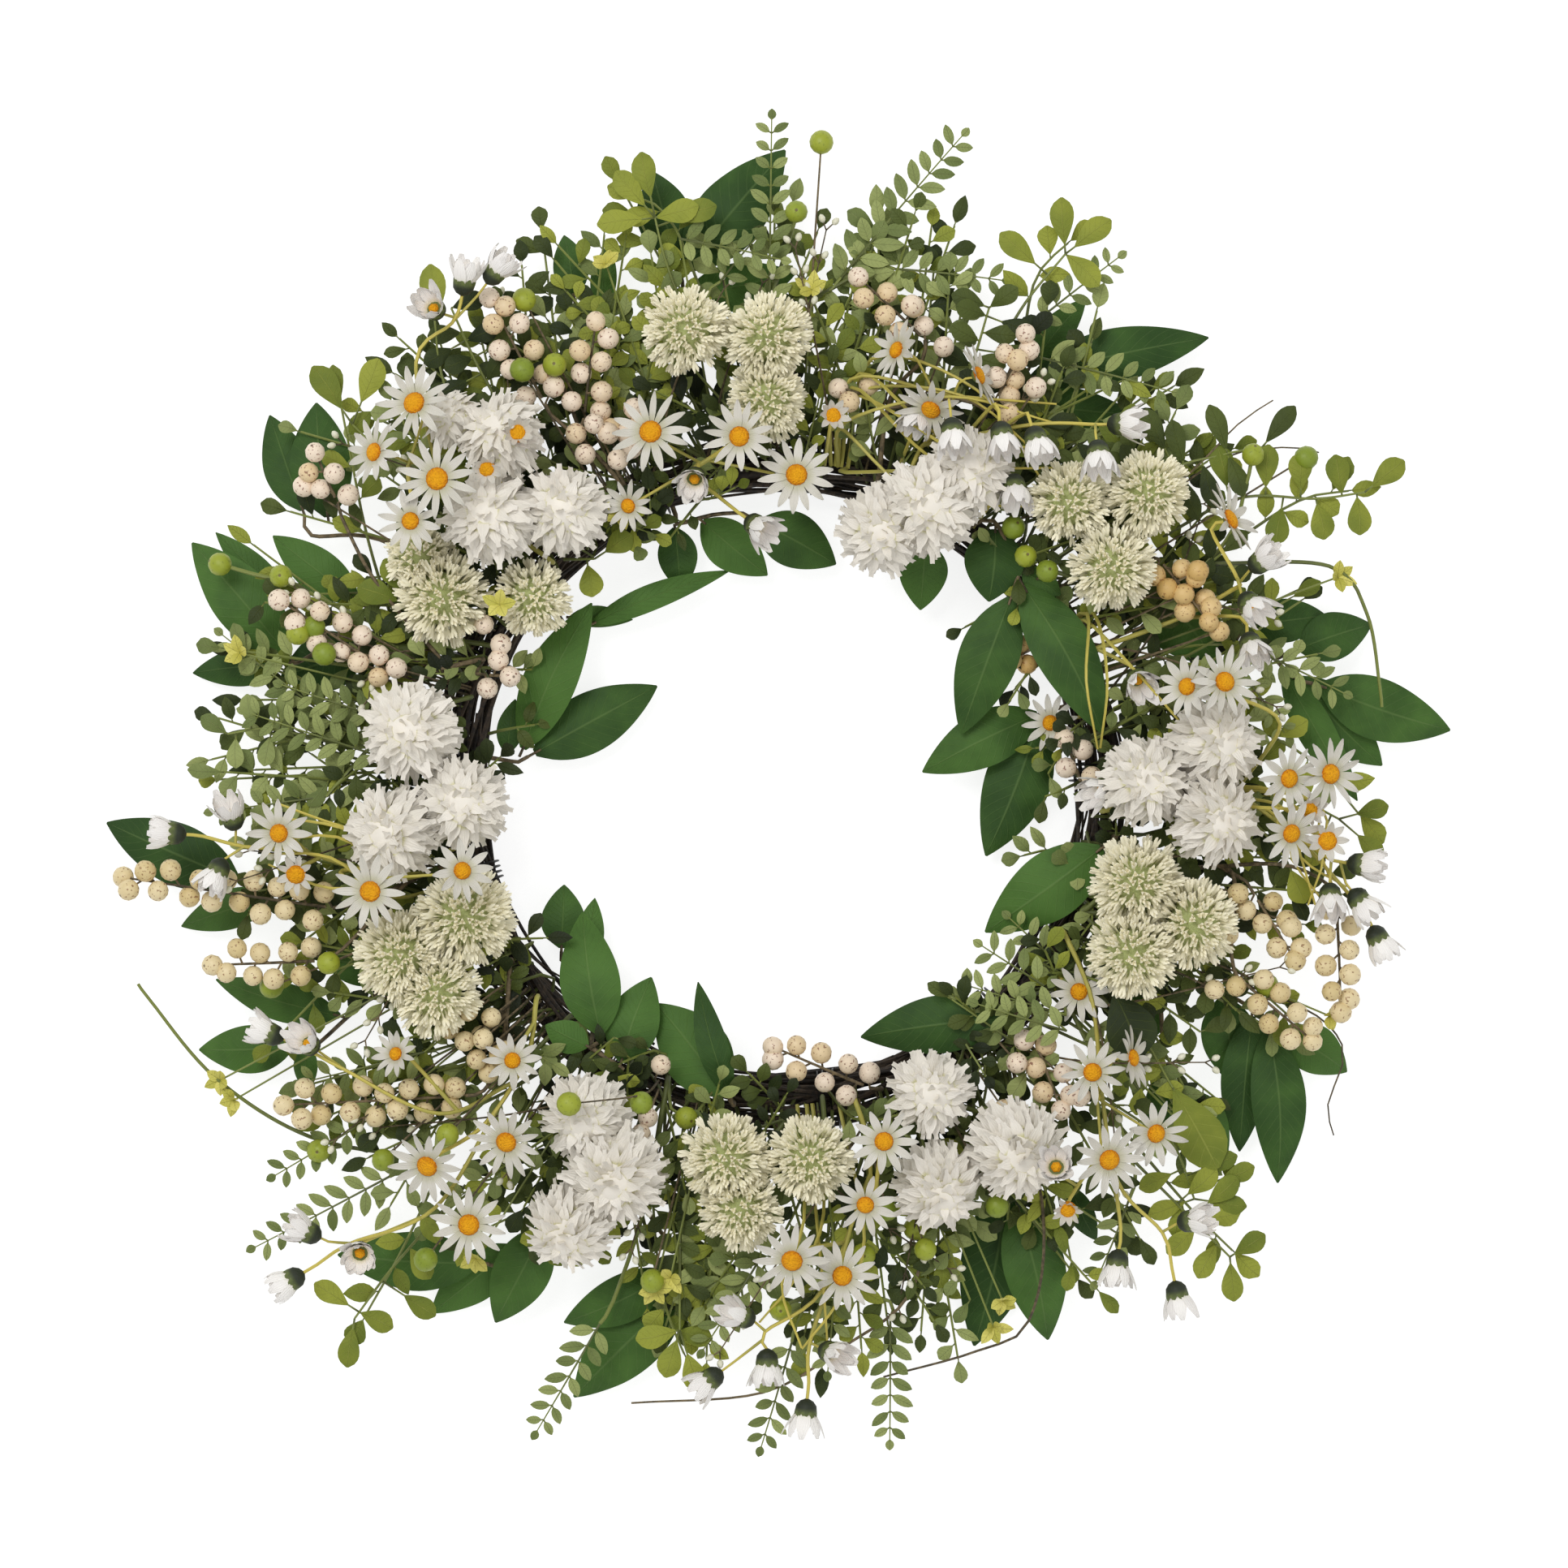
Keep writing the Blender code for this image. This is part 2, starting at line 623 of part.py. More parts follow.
# Chrysanthemums, by threes and fours
round_heads(
    "mums_upper_left", mum, PETAL_WHITE, (-92, 113), 35,
    [(-95, 120, 62, 41)],
    [(-126, 117, 69, 43), (-122, 153, 64, 40), (-144, 161, 60, 28)],
    [daisy((-114, 153, 79), 19, (0.2, 0, 1), cup=0.7)],
)
round_heads(
    "mums_upper_right", mum, PETAL_WHITE, (68, 126), 35,
    [(66, 122, 64, 46)],
    [(46, 112, 61, 41), (84, 137, 62, 40)],
)
round_heads(
    "mums_right", mum, PETAL_WHITE, (148, 2), 35,
    [(161, 1, 64, 41)],
    [(192, 17, 63, 43), (192, -16, 65, 42)],
    [bud((142, -3, 62), (-0.8, -0.4, 0.5))],
)
round_heads(
    "mums_lower_right", mum, PETAL_WHITE, (58, -138), 35,
    [(67, -136, 62, 38), (71, -178, 61, 41)],
    [(105, -161, 63, 45)],
)
round_heads(
    "mums_lower_left", mum, PETAL_WHITE, (-72, -136), 35,
    [(-85, -147, 63, 40)],
    [(-72, -172, 64, 46), (-92, -196, 61, 41)],
)
round_heads(
    "mums_left", mum, PETAL_WHITE, (-144, -9), 35,
    [(-139, -9, 61, 41), (-162, 23, 63, 45)],
    [(-170, -22, 63, 43)],
)

# Allium balls, by threes
round_heads(
    "alliums_top", allium, ALLIUM_CREAM, (-4, 148), 35,
    [(-5, 169, 60, 38), (-41, 200, 61, 41)],
    [(-5, 197, 62, 41)],
)
round_heads(
    "alliums_upper_left", allium, ALLIUM_CREAM, (-114, 88), 33,
    [(-109, 82, 50, 36), (-149, 82, 49, 44)],
    [(-159, 100, 48, 34)],
)
round_heads(
    "alliums_lower_left", allium, ALLIUM_CREAM, (-134, -57), 35,
    [(-138, -59, 63, 46)],
    [(-166, -76, 63, 44), (-151, -92, 62, 42)],
)
round_heads(
    "alliums_bottom", allium, ALLIUM_CREAM, (4, -150), 35,
    [(14, -166, 62, 40), (-23, -165, 63, 42)],
    [(-17, -188, 60, 38)],
)
round_heads(
    "alliums_right", allium, ALLIUM_CREAM, (136, -58), 35,
    [(158, -44, 61, 44)],
    [(183, -62, 61, 42), (156, -75, 62, 42)],
)
round_heads(
    "alliums_upper_right", allium, ALLIUM_CREAM, (117, 96), 35,
    [(128, 124, 61, 38), (163, 128, 60, 40)],
    [(147, 95, 62, 40)],
)


def flower(centre, diameter, facing=None, cup=0.12):
    """A daisy that faces up and a little outwards, unless told otherwise, and never quite straight."""
    facing = Vector(facing) if facing else lean(centre[0], centre[1], 0.004)
    facing += Vector((draw.uniform(-0.15, 0.15), draw.uniform(-0.15, 0.15), 0))
    return daisy(centre, diameter, facing, cup)


def spray(name, colour, roughness, foot, run_z, stems):
    """Stems from one foot. Each is where it starts, the points that it runs through and its ends.

    It starts at the foot (None), or this far in millimetres along an earlier stem, given by its number.
    """
    sprig = Sprig(name, colour, roughness)
    runs = []
    for start, path, ends in stems:
        if start is None:
            runs.append(sprig.fan([*sprig.foot(*foot, run_z), *path], ends, posts=2))
        else:
            runs.append(sprig.fan([partway(runs[start[0]], start[1]), *path], ends))
    sprig.make()


def daisies(name, foot, stems):
    spray(name, DAISY_WHITE, 0.7, foot, DAISY_RUN_Z, stems)


daisies("daisies_upper_left", (-104, 101), [
    (None, [(-148, 133, 41), (-164, 142, 50)],
     [flower((-160, 114, 86), 28), flower((-148, 132, 91), 36),
      flower((-177, 145, 74), 30, (-0.7, 0, 0.7)), flower((-159, 166, 80), 35)]),
    ((0, 84), [(-160, 186, 60), (-144, 203, 62)],
     [bud((-138, 222, 67), (0.2, 1, 0.3)), bud((-124, 226, 66), (0.8, 1, 0.3)),
      bud((-152, 209, 70), (-0.3, 0.2, 0.8))]),
])
daisies("daisies_top", (-40, 139), [
    (None, [(-34, 142, 47)],
     [flower((-17, 151, 83), 32), flower((-56, 154, 72), 36), flower((8, 135, 74), 34),
      flower((-66, 122, 65), 24, (-0.5, -0.3, 0.9))]),
    ((0, 15), [], [bud((-37, 133, 67), (-0.1, -0.5, 0.8))]),
    ((0, 19), [(-18, 120, 55)], [bud((-9, 113, 61), (0.5, -0.4, 0.5))]),
])
daisies("daisies_upper_right", (57, 133.5), [
    (None, [(64, 150, 42), (76, 160, 48)],
     [flower((67, 164, 70), 32), flower((52, 190, 70), 28),
      flower((88, 179, 68), 30, (0.5, 0.3, 0.8)), bud((76, 152, 85), (0, -0.3, 1))]),
    ((0, 43), [(112, 158, 62), (140, 158, 63)],
     [bud((152, 158, 66), (1, 0, 0.4)), bud((140, 143, 76), (0.1, -0.6, 0.9))]),
    ((1, 20), [], [bud((98, 151, 76), (0.1, -0.4, 1))]),
    ((1, 36), [], [bud((113, 149, 76), (0.1, -0.4, 1))]),
])
daisies("daisies_right_upper", (133, 57), [
    (None, [(175, 72, 41), (202, 86, 44), (203, 90, 58)],
     [flower((199, 116, 66), 34, (0.1, 0.7, 0.7)), bud((213, 98, 68), (0.8, 0.6, 0.5)),
      bud((208, 78, 69), (0.6, -0.7, 0.6))]),
    ((0, 74), [], [bud((209, 60, 60), (0.3, -1, 0.7))]),
    ((0, 34), [], [bud((159, 45, 60), (0.2, -0.5, 0.8))]),
])
daisies("daisies_right", (147, -12), [
    (None, [(180, -3, 41), (214, -2, 46), (220, -4, 56)],
     [flower((223, 2, 80), 30), flower((224, -22, 80), 30), flower((242, 4, 74), 32, (0.3, 0.1, 1))]),
    ((0, 84), [(221, 26, 64), (200, 38, 76)],
     [flower((194, 44, 88), 32), flower((178, 42, 84), 28, (-0.5, 0, 1))]),
    ((0, 80), [(244, -34, 62)],
     [bud((258, -36, 65), (1, -0.1, 0.3)), bud((243, -51, 67), (0, -0.8, 0.4)),
      bud((257, -53, 65), (0.6, -0.8, 0.2))]),
    ((2, 24), [], [flower((240, -25, 78), 20, (0.1, 0, 1), 0.4)]),
    ((2, 39), [(255, -52, 58)], [bud((266, -70, 58), (0.5, -1, 0))]),
])
daisies("daisies_lower_right", (128, -68), [
    (None, [(140, -98, 41), (143, -140, 47)],
     [flower((138, -127, 68), 30), flower((156, -121, 64), 28, (0.4, 0.2, 1)),
      flower((166, -154, 68), 30), flower((145, -165, 74), 33)]),
    ((0, 92), [(150, -176, 56), (170, -199, 58)],
     [bud((177, -228, 57), (0.2, -1, 0)), bud((183, -193, 64), (1, 0.2, 0.5))]),
    ((1, 36), [], [bud((150, -214, 56), (-0.1, -1, 0.1))]),
    ((1, 28), [(132, -178, 60)],
     [flower((127, -187, 72), 17, (-0.2, -0.3, 1), 0.7), bud((121, -167, 84), (-0.1, 0.3, 1))]),
])
daisies("daisies_bottom", (34, -141), [
    (None, [(40, -160, 41), (42, -188, 46)],
     [flower((46, -156, 84), 30), flower((38, -184, 80), 28)]),
    ((0, 58), [(20, -224, 54), (-6, -243, 56)],
     [bud((-5, -258, 56), (0, -1, 0.1)), bud((-17, -235, 61), (-0.9, 0.4, 0.4)),
      bud((-31, -265, 55), (-0.8, -0.6, 0))]),
    ((1, 26), [], [flower((28, -216, 73), 32, (0.1, 0, 1))]),
    ((1, 33), [], [flower((6, -208, 84), 34)]),
    ((1, 44), [(14, -248, 54)], [bud((12, -281, 52), (-0.1, -1, 0)), bud((24, -252, 60), (0.6, -0.2, 0.6))]),
])
daisies("daisies_lower_left", (-108, -97), [
    (None, [(-112, -122, 41), (-130, -151, 48)],
     [flower((-154, -168, 72), 34), flower((-119, -157, 76), 33)]),
    ((0, 62), [(-150, -146, 58), (-192, -126, 62)],
     [bud((-225, -110, 65), (-1, 0.4, 0.1)), bud((-207, -114, 71), (-0.4, 0.4, 0.8))]),
    ((0, 74), [(-152, -188, 56), (-190, -204, 58)],
     [bud((-217, -221, 57), (-1, -0.6, 0)), bud((-209, -198, 62), (-0.8, 0.4, 0.2))]),
    ((2, 62), [], [bud((-184, -207, 72), (0, -0.2, 0.9))]),
    ((2, 43), [], [flower((-136, -194, 70), 34, (0.1, 0, 1))]),
    ((0, 34), [], [flower((-117, -122, 65), 26)]),
    ((1, 30), [], [flower((-168, -119, 68), 22, (-0.3, 0.3, 1), 0.3)]),
])
daisies("daisies_left", (-144, -22), [
    (None, [(-175, -36, 41), (-194, -39, 46), (-187, -43, 70)],
     [flower((-177, -47, 91), 33), flower((-137, -38, 92), 28, (0.3, 0, 1))]),
    ((0, 72), [(-212, -30, 56), (-236, -28, 60)],
     [bud((-269, -22, 62), (-1, 0.1, 0.1)), bud((-248, -40, 62), (-0.4, -0.8, 0.2)),
      bud((-241, -14, 64), (-0.2, 0.8, 0.4))]),
    ((1, 24), [], [flower((-219, -22, 72), 30)]),
    ((1, 18), [], [flower((-212, -40, 68), 19, (0, -0.3, 1), 0.3)]),
])


def berry_row(base, tip, count, rise=2.0, swing=2.4):
    """Berries in a row from base to tip, standing a little to its one side and the other."""
    base, tip = Vector(base), Vector(tip)
    side = (tip - base).cross(Vector((0, 0, 1))).normalized()
    centres = []
    for i in range(count):
        t = i / max(count - 1, 1)
        away = side * swing * (1 if i % 2 else -1)
        lift = Vector((0, 0, rise * math.sin(math.pi * t)))
        centres.append(base.lerp(tip, t) + away + lift)
    return berries(*centres)


def berry_spray(name, foot, run_z, stems):
    spray(name, BERRY_CREAM, 0.5, foot, run_z, stems)


def lime(x, y, z, facing=(0, 0.01, 1)):
    return berries((x, y, z), diameter=LIME_BERRY, facing=facing)


berry_spray("berries_upper_left", (-66, 129), BERRY_RUN_Z, [
    (None, [(-80, 145, 38), (-92, 156, 45)], [berry_row((-105, 171, 48), (-128, 215, 52), 5)]),
    ((0, 34), [], [berry_row((-86, 165, 47), (-81, 204, 52), 4)]),
    ((0, 20), [], [berry_row((-70, 149, 45), (-64, 166, 50), 2)]),
    ((0, 50), [], [lime(-99, 185, 56)]),
])
berry_spray("berries_left", (-134, 55), BERRY_RUN_Z, [
    (None, [(-160, 49, 40), (-170, 49, 46)], [berry_row((-180, 54, 48), (-221, 81, 52), 5)]),
    ((0, 12), [], [berry_row((-128, 48, 46), (-118, 47, 53), 2, swing=0)]),
    ((0, 34), [(-178, 88, 46), (-194, 118, 48)], [berry_row((-197, 127, 49), (-205, 146, 52), 3)]),
])
berry_spray("berries_left_long", (-141, -33), BERRY_RUN_Z, [
    (None, [(-176, -49, 39), (-188, -54, 46)], [berry_row((-201, -55, 48), (-292, -42, 48), 9)]),
    ((0, 48), [(-194, -74, 46)], [berry_row((-206, -79, 48), (-253, -81, 48), 5)]),
])
berry_spray("berries_lower_left", (-120, -81), BERRY_RUN_Z, [
    (None, [(-122, -110, 38), (-127, -132, 45)], [berry_row((-142, -139, 47), (-219, -143, 50), 8)]),
    ((0, 42), [], [berries((-132, -112, 49)), berries((-121, -119, 50))]),
])
berry_spray("berries_inner_bottom", (46, -137), 35, [
    (None, [], [berry_row((38, -135, 37), (-4, -117, 38), 5, 1.0, -2.4)]),
])
berry_spray("berries_lower_right", (112, -95), BERRY_RUN_Z, [
    (None, [(114, -106, 38)], [berry_row((114, -114, 43), (126, -147, 50), 5)]),
])
berry_spray("berries_right", (140, -38), FERN_RUN_Z, [
    (None, [(184, -38, 33.5), (202, -40, 45), (201, -76, 50)],
     [berry_row((206, -88, 50), (239, -116, 50), 4)]),
    ((0, 74), [], [berry_row((213, -52, 48), (230, -80, 52), 4)]),
    ((0, 66), [(222, -36, 48), (240, -42, 48)], [berry_row((248, -56, 50), (250, -102, 50), 5)]),
])
berry_spray("berries_inner_right", (138, -8), 35, [
    (None, [], [berry_row((135, 1, 37), (128, 19, 38), 2, 1.0, -2.4)]),
])
berry_spray("berries_right_upper", (129, 66), BERRY_RUN_Z, [
    (None, [(150, 84, 38), (160, 100, 45)], [berry_row((171, 97, 48), (190, 72, 54), 4)]),
])
berry_spray("berries_top_right", (45, 138), BERRY_RUN_Z, [
    (None, [(50, 172, 38), (64, 188, 45)], [berry_row((63, 199, 47), (36, 224, 50), 4)]),
    ((0, 50), [(80, 171, 43)], [berry_row((98, 172, 47), (109, 198, 50), 3)]),
    ((0, 40), [], [berry_row((38, 173, 43), (25, 176, 48), 2)]),
])


def ferns(name, foot, stems, twigs=()):
    """Fern fronds and lime berries on stems, and twigs with a number of small blunt leaves."""
    sprig = Sprig(name, FERN_GREEN, 0.65)
    runs = []
    for start, path, ends in stems:
        if start is None:
            runs.append(sprig.fan([*sprig.foot(*foot, FERN_RUN_Z), *path], ends, posts=2))
        else:
            runs.append(sprig.fan([partway(runs[start[0]], start[1]), *path], ends))
    for (number, length), path, count in twigs:
        path = [partway(runs[number], length), *(Vector(p) for p in path)]
        sprig.twig(path, THIN_STEM)
        sprig.bodies += leaves_along(path, count)
    sprig.make()


def leaves_along(path, count, length=17.0, width=10.0):
    """Small leaves on both sides of a path's outer two thirds, and one at its end."""
    made = []
    whole = path_length(path)
    for i in range(count):
        at = whole * (0.3 + 0.7 * (i + 1) / count) - 0.5
        start = partway(path, at)
        way = (start - partway(path, at - 1)).normalized()
        side = way.cross(Vector((0, 0, 1))).normalized()
        out = way if i == count - 1 else (way + side * (1.5 if i % 2 else -1.5)).normalized()
        end = start + out * length * draw.uniform(0.85, 1.1) + Vector((0, 0, draw.uniform(0, 2.5)))
        made.append(small_leaf(start - out * 0.5, end, width))
    return made


ferns("ferns_top", (-22, 143), [
    (None, [(-24, 185, 33), (-15, 207, 35)], [frond((-4, 214, 36), (-3, 299, 34), 10, 6)]),
    ((0, 70), [(9, 213, 36), (24, 221, 36.5)], [frond((28, 226, 36.5), (83, 291, 36), 12, 6)]),
    ((1, 44), [], [frond((52, 230, 36), (101, 225, 35), 10, 3)]),
    ((0, 64), [], [frond((-26, 224, 37), (-8, 246, 36), 8, 2)]),
    ((0, 108), [], [lime(8, 254, 49)]),
], [((3, 16), [(-48, 252, 38), (-63, 262, 38)], 4)])
ferns("ferns_top_right", (80, 121), [
    (None, [(98, 158, 33), (110, 187, 35)], [frond((118, 190, 36), (177, 175, 35), 11, 5)]),
    ((0, 76), [(112, 204, 36)], [frond((116, 207, 36), (153, 236, 36), 9, 4)]),
], [((1, 15), [(115, 226, 38), (130, 242, 38)], 4)])
ferns("ferns_right_upper", (137, 46), [
    (None, [(165, 72, 33), (200, 108, 35)], [lime(211, 146, 49, (0.2, 1, 0.4))]),
    ((0, 92), [(246, 97, 40), (263, 76, 40)], [lime(270, 40, 38, (0.2, -1, 0))]),
], [((0, 96), [(232, 126, 38), (256, 131, 37)], 6)])
ferns("ferns_right", (143, 22), [
    (None, [(196, 48, 34)], [frond((214, 59, 36), (254, 40, 34), 10, 4)]),
    ((0, 66), [], [frond((210, 46, 36), (228, 20, 35), 8, 3)]),
], [((0, 60), [(236, 12, 36), (260, -14, 36)], 4)])
ferns("ferns_lower_right", (120, -82), [
    (None, [(140, -120, 33), (158, -168, 35)], [frond((157, -186, 36), (142, -224, 34), 9, 4)]),
    ((0, 30), [], [frond((124, -102, 44), (84, -90, 44), 10, 4)]),
    ((0, 8), [], [frond((120, -76, 35), (103, -60, 33), 9, 2)]),
], [((0, 96), [(184, -190, 37), (204, -210, 36)], 5)])
ferns("ferns_bottom", (20, -144), [
    (None, [(24, -190, 33), (28, -224, 35)], [frond((50, -240, 36), (50, -296, 33), 10, 5)]),
    ((0, 80), [], [frond((6, -250, 36), (-8, -299, 33), 10, 5)]),
    ((0, 74), [], [lime(38, -210, 44)]),
    ((1, 24), [], [lime(1, -234, 49)]),
    ((0, 62), [], [lime(61, -199, 38, (1, -0.2, 0.2))]),
])
ferns("ferns_bottom_left", (-50, -136), [
    (None, [(-60, -190, 33), (-74, -232, 35)], [frond((-80, -242, 36), (-109, -292, 33), 10, 5)]),
    ((0, 14), [], [lime(-41, -149, 44, (0.6, -0.3, 0.6))]),
], [((0, 76), [(-50, -236, 36), (-42, -256, 36)], 4)])
ferns("ferns_lower_left", (-97, -108), [
    (None, [(-150, -160, 33)], [frond((-174, -176, 36), (-236, -209, 33), 10, 6)]),
    ((0, 106), [(-210, -158, 38), (-252, -132, 38)], [lime(-284, -94, 38, (-0.6, 0.8, 0))]),
    ((1, 36), [], [lime(-205, -164, 45)]),
], [((0, 84), [(-166, -204, 36), (-186, -240, 35)], 5)])
ferns("ferns_left", (-140, 38), [
    (None, [(-172, 28, 33)], [frond((-190, 21, 35.5), (-250, 67, 33), 11, 6)]),
    ((0, 50), [(-197, 0, 36)], [frond((-202, -6, 36), (-254, -13, 33), 10, 5)]),
])
ferns("ferns_upper_left", (-131, 62), [
    (None, [(-176, 70, 33), (-216, 88, 38)], [lime(-250, 98, 37, (-1, 0.3, 0))]),
    ((0, 100), [], [lime(-221, 92, 49)]),
], [((0, 58), [(-184, 110, 34), (-192, 150, 36), (-196, 170, 36)], 5)])
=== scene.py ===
"""An artificial chrysanthemum and daisy wreath: cloth petals and leaves, moulded florets and painted
berries on wire stems, all bound to a ring of dark twigs.

Lengths are in millimetres until a piece's mesh is made. X runs to the wreath's right, Y to its top and
Z the way that its flowers face.
"""

import math
import random

import bpy
import numpy as np
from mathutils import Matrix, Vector


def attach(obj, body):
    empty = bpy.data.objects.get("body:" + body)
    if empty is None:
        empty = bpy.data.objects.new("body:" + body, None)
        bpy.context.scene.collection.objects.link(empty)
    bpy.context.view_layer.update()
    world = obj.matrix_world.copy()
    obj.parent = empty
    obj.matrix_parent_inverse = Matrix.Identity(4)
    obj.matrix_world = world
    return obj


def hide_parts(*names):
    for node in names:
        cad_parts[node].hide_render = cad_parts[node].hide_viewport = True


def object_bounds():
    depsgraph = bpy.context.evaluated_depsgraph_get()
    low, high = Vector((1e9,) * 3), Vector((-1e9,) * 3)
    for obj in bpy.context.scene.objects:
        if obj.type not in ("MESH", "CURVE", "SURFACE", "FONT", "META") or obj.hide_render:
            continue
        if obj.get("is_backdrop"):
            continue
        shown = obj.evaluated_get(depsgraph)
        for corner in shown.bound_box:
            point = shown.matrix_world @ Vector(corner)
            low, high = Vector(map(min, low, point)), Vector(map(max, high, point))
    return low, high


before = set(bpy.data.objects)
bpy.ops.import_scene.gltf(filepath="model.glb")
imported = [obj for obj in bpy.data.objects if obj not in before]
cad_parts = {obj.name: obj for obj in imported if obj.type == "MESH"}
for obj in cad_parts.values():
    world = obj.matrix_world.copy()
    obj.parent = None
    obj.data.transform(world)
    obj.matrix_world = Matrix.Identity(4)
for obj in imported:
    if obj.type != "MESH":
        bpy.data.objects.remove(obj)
cad_low, cad_high = (list(corner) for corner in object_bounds())

MM = 0.001
GOLDEN_TURN = 2.39996

RING_RADIUS = 145.0
RING_CENTRE_Z = 11.6
LEAF_SEAT_Z = 13.0
FERN_RUN_Z = 32.5
BERRY_RUN_Z = 36.8
DAISY_RUN_Z = 41.0
DROOP = 7.0
DROOP_FROM, DROOP_TO = 170.0, 300.0

STEM = 1.15
SIDE_STEM = 0.7
SIDE_STEM_SPACING = 4.0
CREAM_BERRY = 9.7
LIME_BERRY = 10.8

# The diameter of a common round head and the size of a bell bud. How many petals and florets a common
# head has, and how far they cover it: 0 is nothing of it and 2 the whole ball
HEAD = 42.0
BUD = 17.0
MUM_PETAL_COUNT, MUM_COVERED = 190, 1.5
ALLIUM_FLORET_COUNT, ALLIUM_COVERED = 270, 1.74

LEAFLET_SPACING = 8.4
LEAF_SHARE = 0.57
BERRY_SPACING = 5.7
FROND_RISE = 4.0
LEAF_FOLD, LEAF_RUFFLE = -0.16, 0.05
PETAL_COLUMNS = 2
THINNEST_HALF = 0.06

LEAF_ROUGHNESS, VEIN_SHARE = 0.62, 0.35
PETAL_ROUGHNESS = 0.55

# Twigs that make up the ring, and the black wire turns that bind them
RING_TWIGS = 85
RING_BINDINGS = 9
RING_TWIG_SPREAD = 12.4
TWIG_POINTS_A_RADIAN = 20
BINDING_WIDE, BINDING_HIGH = 13.6, 13.2
BINDING_POINTS, BINDING_POINTS_A_TURN, BINDING_STEP = 61, 15, 0.0012
WIRE_RADIUS = 0.45

# Where the stems of the undergrowth leave the ring
STRAND_FOOT_Z = 22
TANGLE_FOOT_Z = 24

draw = random.Random(11)


def paint(red, green, blue):
    """A colour off a chart, from 0 to 255, as the linear values that a shader takes."""
    return (*(((c / 255 + 0.055) / 1.055) ** 2.4 for c in (red, green, blue)), 1.0)


class Amount:
    """A socket of a shader tree that can stand in a sum. Each sum adds a Math node."""

    def __init__(self, tree, socket):
        self.tree, self.socket = tree, socket

    def maths(self, operation, *terms):
        node = self.tree.nodes.new("ShaderNodeMath")
        node.operation = operation
        for slot, term in zip(node.inputs, terms):
            if isinstance(term, Amount):
                self.tree.links.new(term.socket, slot)
            else:
                slot.default_value = term
        return Amount(self.tree, node.outputs[0])

    def output(self, name):
        """Another output of the same node."""
        return Amount(self.tree, self.socket.node.outputs[name])

    def __add__(self, other):
        return self.maths("ADD", self, other)

    def __sub__(self, other):
        return self.maths("SUBTRACT", self, other)

    def __rsub__(self, other):
        return self.maths("SUBTRACT", other, self)

    def __mul__(self, other):
        return self.maths("MULTIPLY", self, other)

    def __abs__(self):
        return self.maths("ABSOLUTE", self)


class Finish:
    """One material of the wreath: its nodes, and the shader that they end in."""

    def __init__(self, name, colour, roughness, **constants):
        self.material = bpy.data.materials.new(name)
        self.material.use_nodes = True
        self.material.diffuse_color = paint(*colour)
        self.tree = self.material.node_tree
        self.shader = self.tree.nodes["Principled BSDF"]
        self.shader.inputs["Base Color"].default_value = paint(*colour)
        self.shader.inputs["Roughness"].default_value = roughness
        for name, value in constants.items():
            self.shader.inputs[name.replace("_", " ")].default_value = value
        place = self.node("Attribute", {"attribute_name": "grain"}, output="Vector")
        parts = self.node("SeparateXYZ", inputs={"Vector": place})
        self.along, self.across, self.own = parts, parts.output("Y"), parts.output("Z")
        self.place = self.node("TexCoord", output="Object")

    def node(self, kind, settings=None, inputs=None, output=0):
        """A node with its settings made first, then its sockets. A tuple is a colour off the chart."""
        node = self.tree.nodes.new("ShaderNode" + kind)
        for name, value in (settings or {}).items():
            setattr(node, name, value)
        for name, value in (inputs or {}).items():
            if isinstance(value, Amount):
                self.tree.links.new(value.socket, node.inputs[name])
            else:
                node.inputs[name].default_value = paint(*value) if isinstance(value, tuple) else value
        return Amount(self.tree, node.outputs[output])

    def noise(self, scale, detail=2.0):
        """Cloudy variation from 0 to 1, with this many clouds to a metre."""
        return self.node("TexNoise", inputs={"Vector": self.place, "Scale": scale, "Detail": detail})

    def cells(self, scale):
        """The distance from the middle of the nearest of this many cells to a metre."""
        return self.node("TexVoronoi", inputs={"Vector": self.place, "Scale": scale})

    def ripple(self, amount):
        """A saw's teeth: the distance from the nearest whole number."""
        return self.node("Math", {"operation": "PINGPONG"}, {0: amount, 1: 0.5})

    def between(self, amount, low, high):
        """0 below low and 1 above high, with a soft change between them."""
        ends = {"Value": amount, "From Min": low, "From Max": high}
        return self.node("MapRange", {"interpolation_type": "SMOOTHSTEP"}, ends)

    def mixed(self, share, first, second):
        return self.node("Mix", {"data_type": "RGBA"}, {0: share, 6: first, 7: second}, 2)

    def wear(self, colour=None, roughness=None, height=None, depth=0.1):
        """What varies over the surface. The relief's depth is in millimetres."""
        if height is not None:
            bump = self.node("Bump", inputs={"Strength": 1.0, "Distance": depth * MM, "Height": height})
            self.tree.links.new(bump.socket, self.shader.inputs["Normal"])
        for value, socket in ((colour, "Base Color"), (roughness, "Roughness")):
            if value is not None:
                self.tree.links.new(value.socket, self.shader.inputs[socket])
        return self


def bark(name, dark, pale, roughness):
    """Rough bark, in long streaks."""
    made = Finish(name, dark, roughness)
    streaks = made.noise(420, 4)
    colour = made.mixed(made.between(streaks + made.own * 0.25, 0.42, 0.85), dark, pale)
    return made.wear(colour, made.between(streaks, 0, 1) * 0.2 + (roughness - 0.1), streaks, 0.5)


def stem(name, colour, tip):
    """A coated wire stem, which changes colour towards its end."""
    made = Finish(name, colour, 0.6)
    cloud = made.noise(260)
    shade = made.mixed(made.between(made.along + cloud * 0.5, 0.3, 1.2), colour, tip)
    return made.wear(shade, cloud * 0.25 + 0.45, made.noise(1400), 0.12)


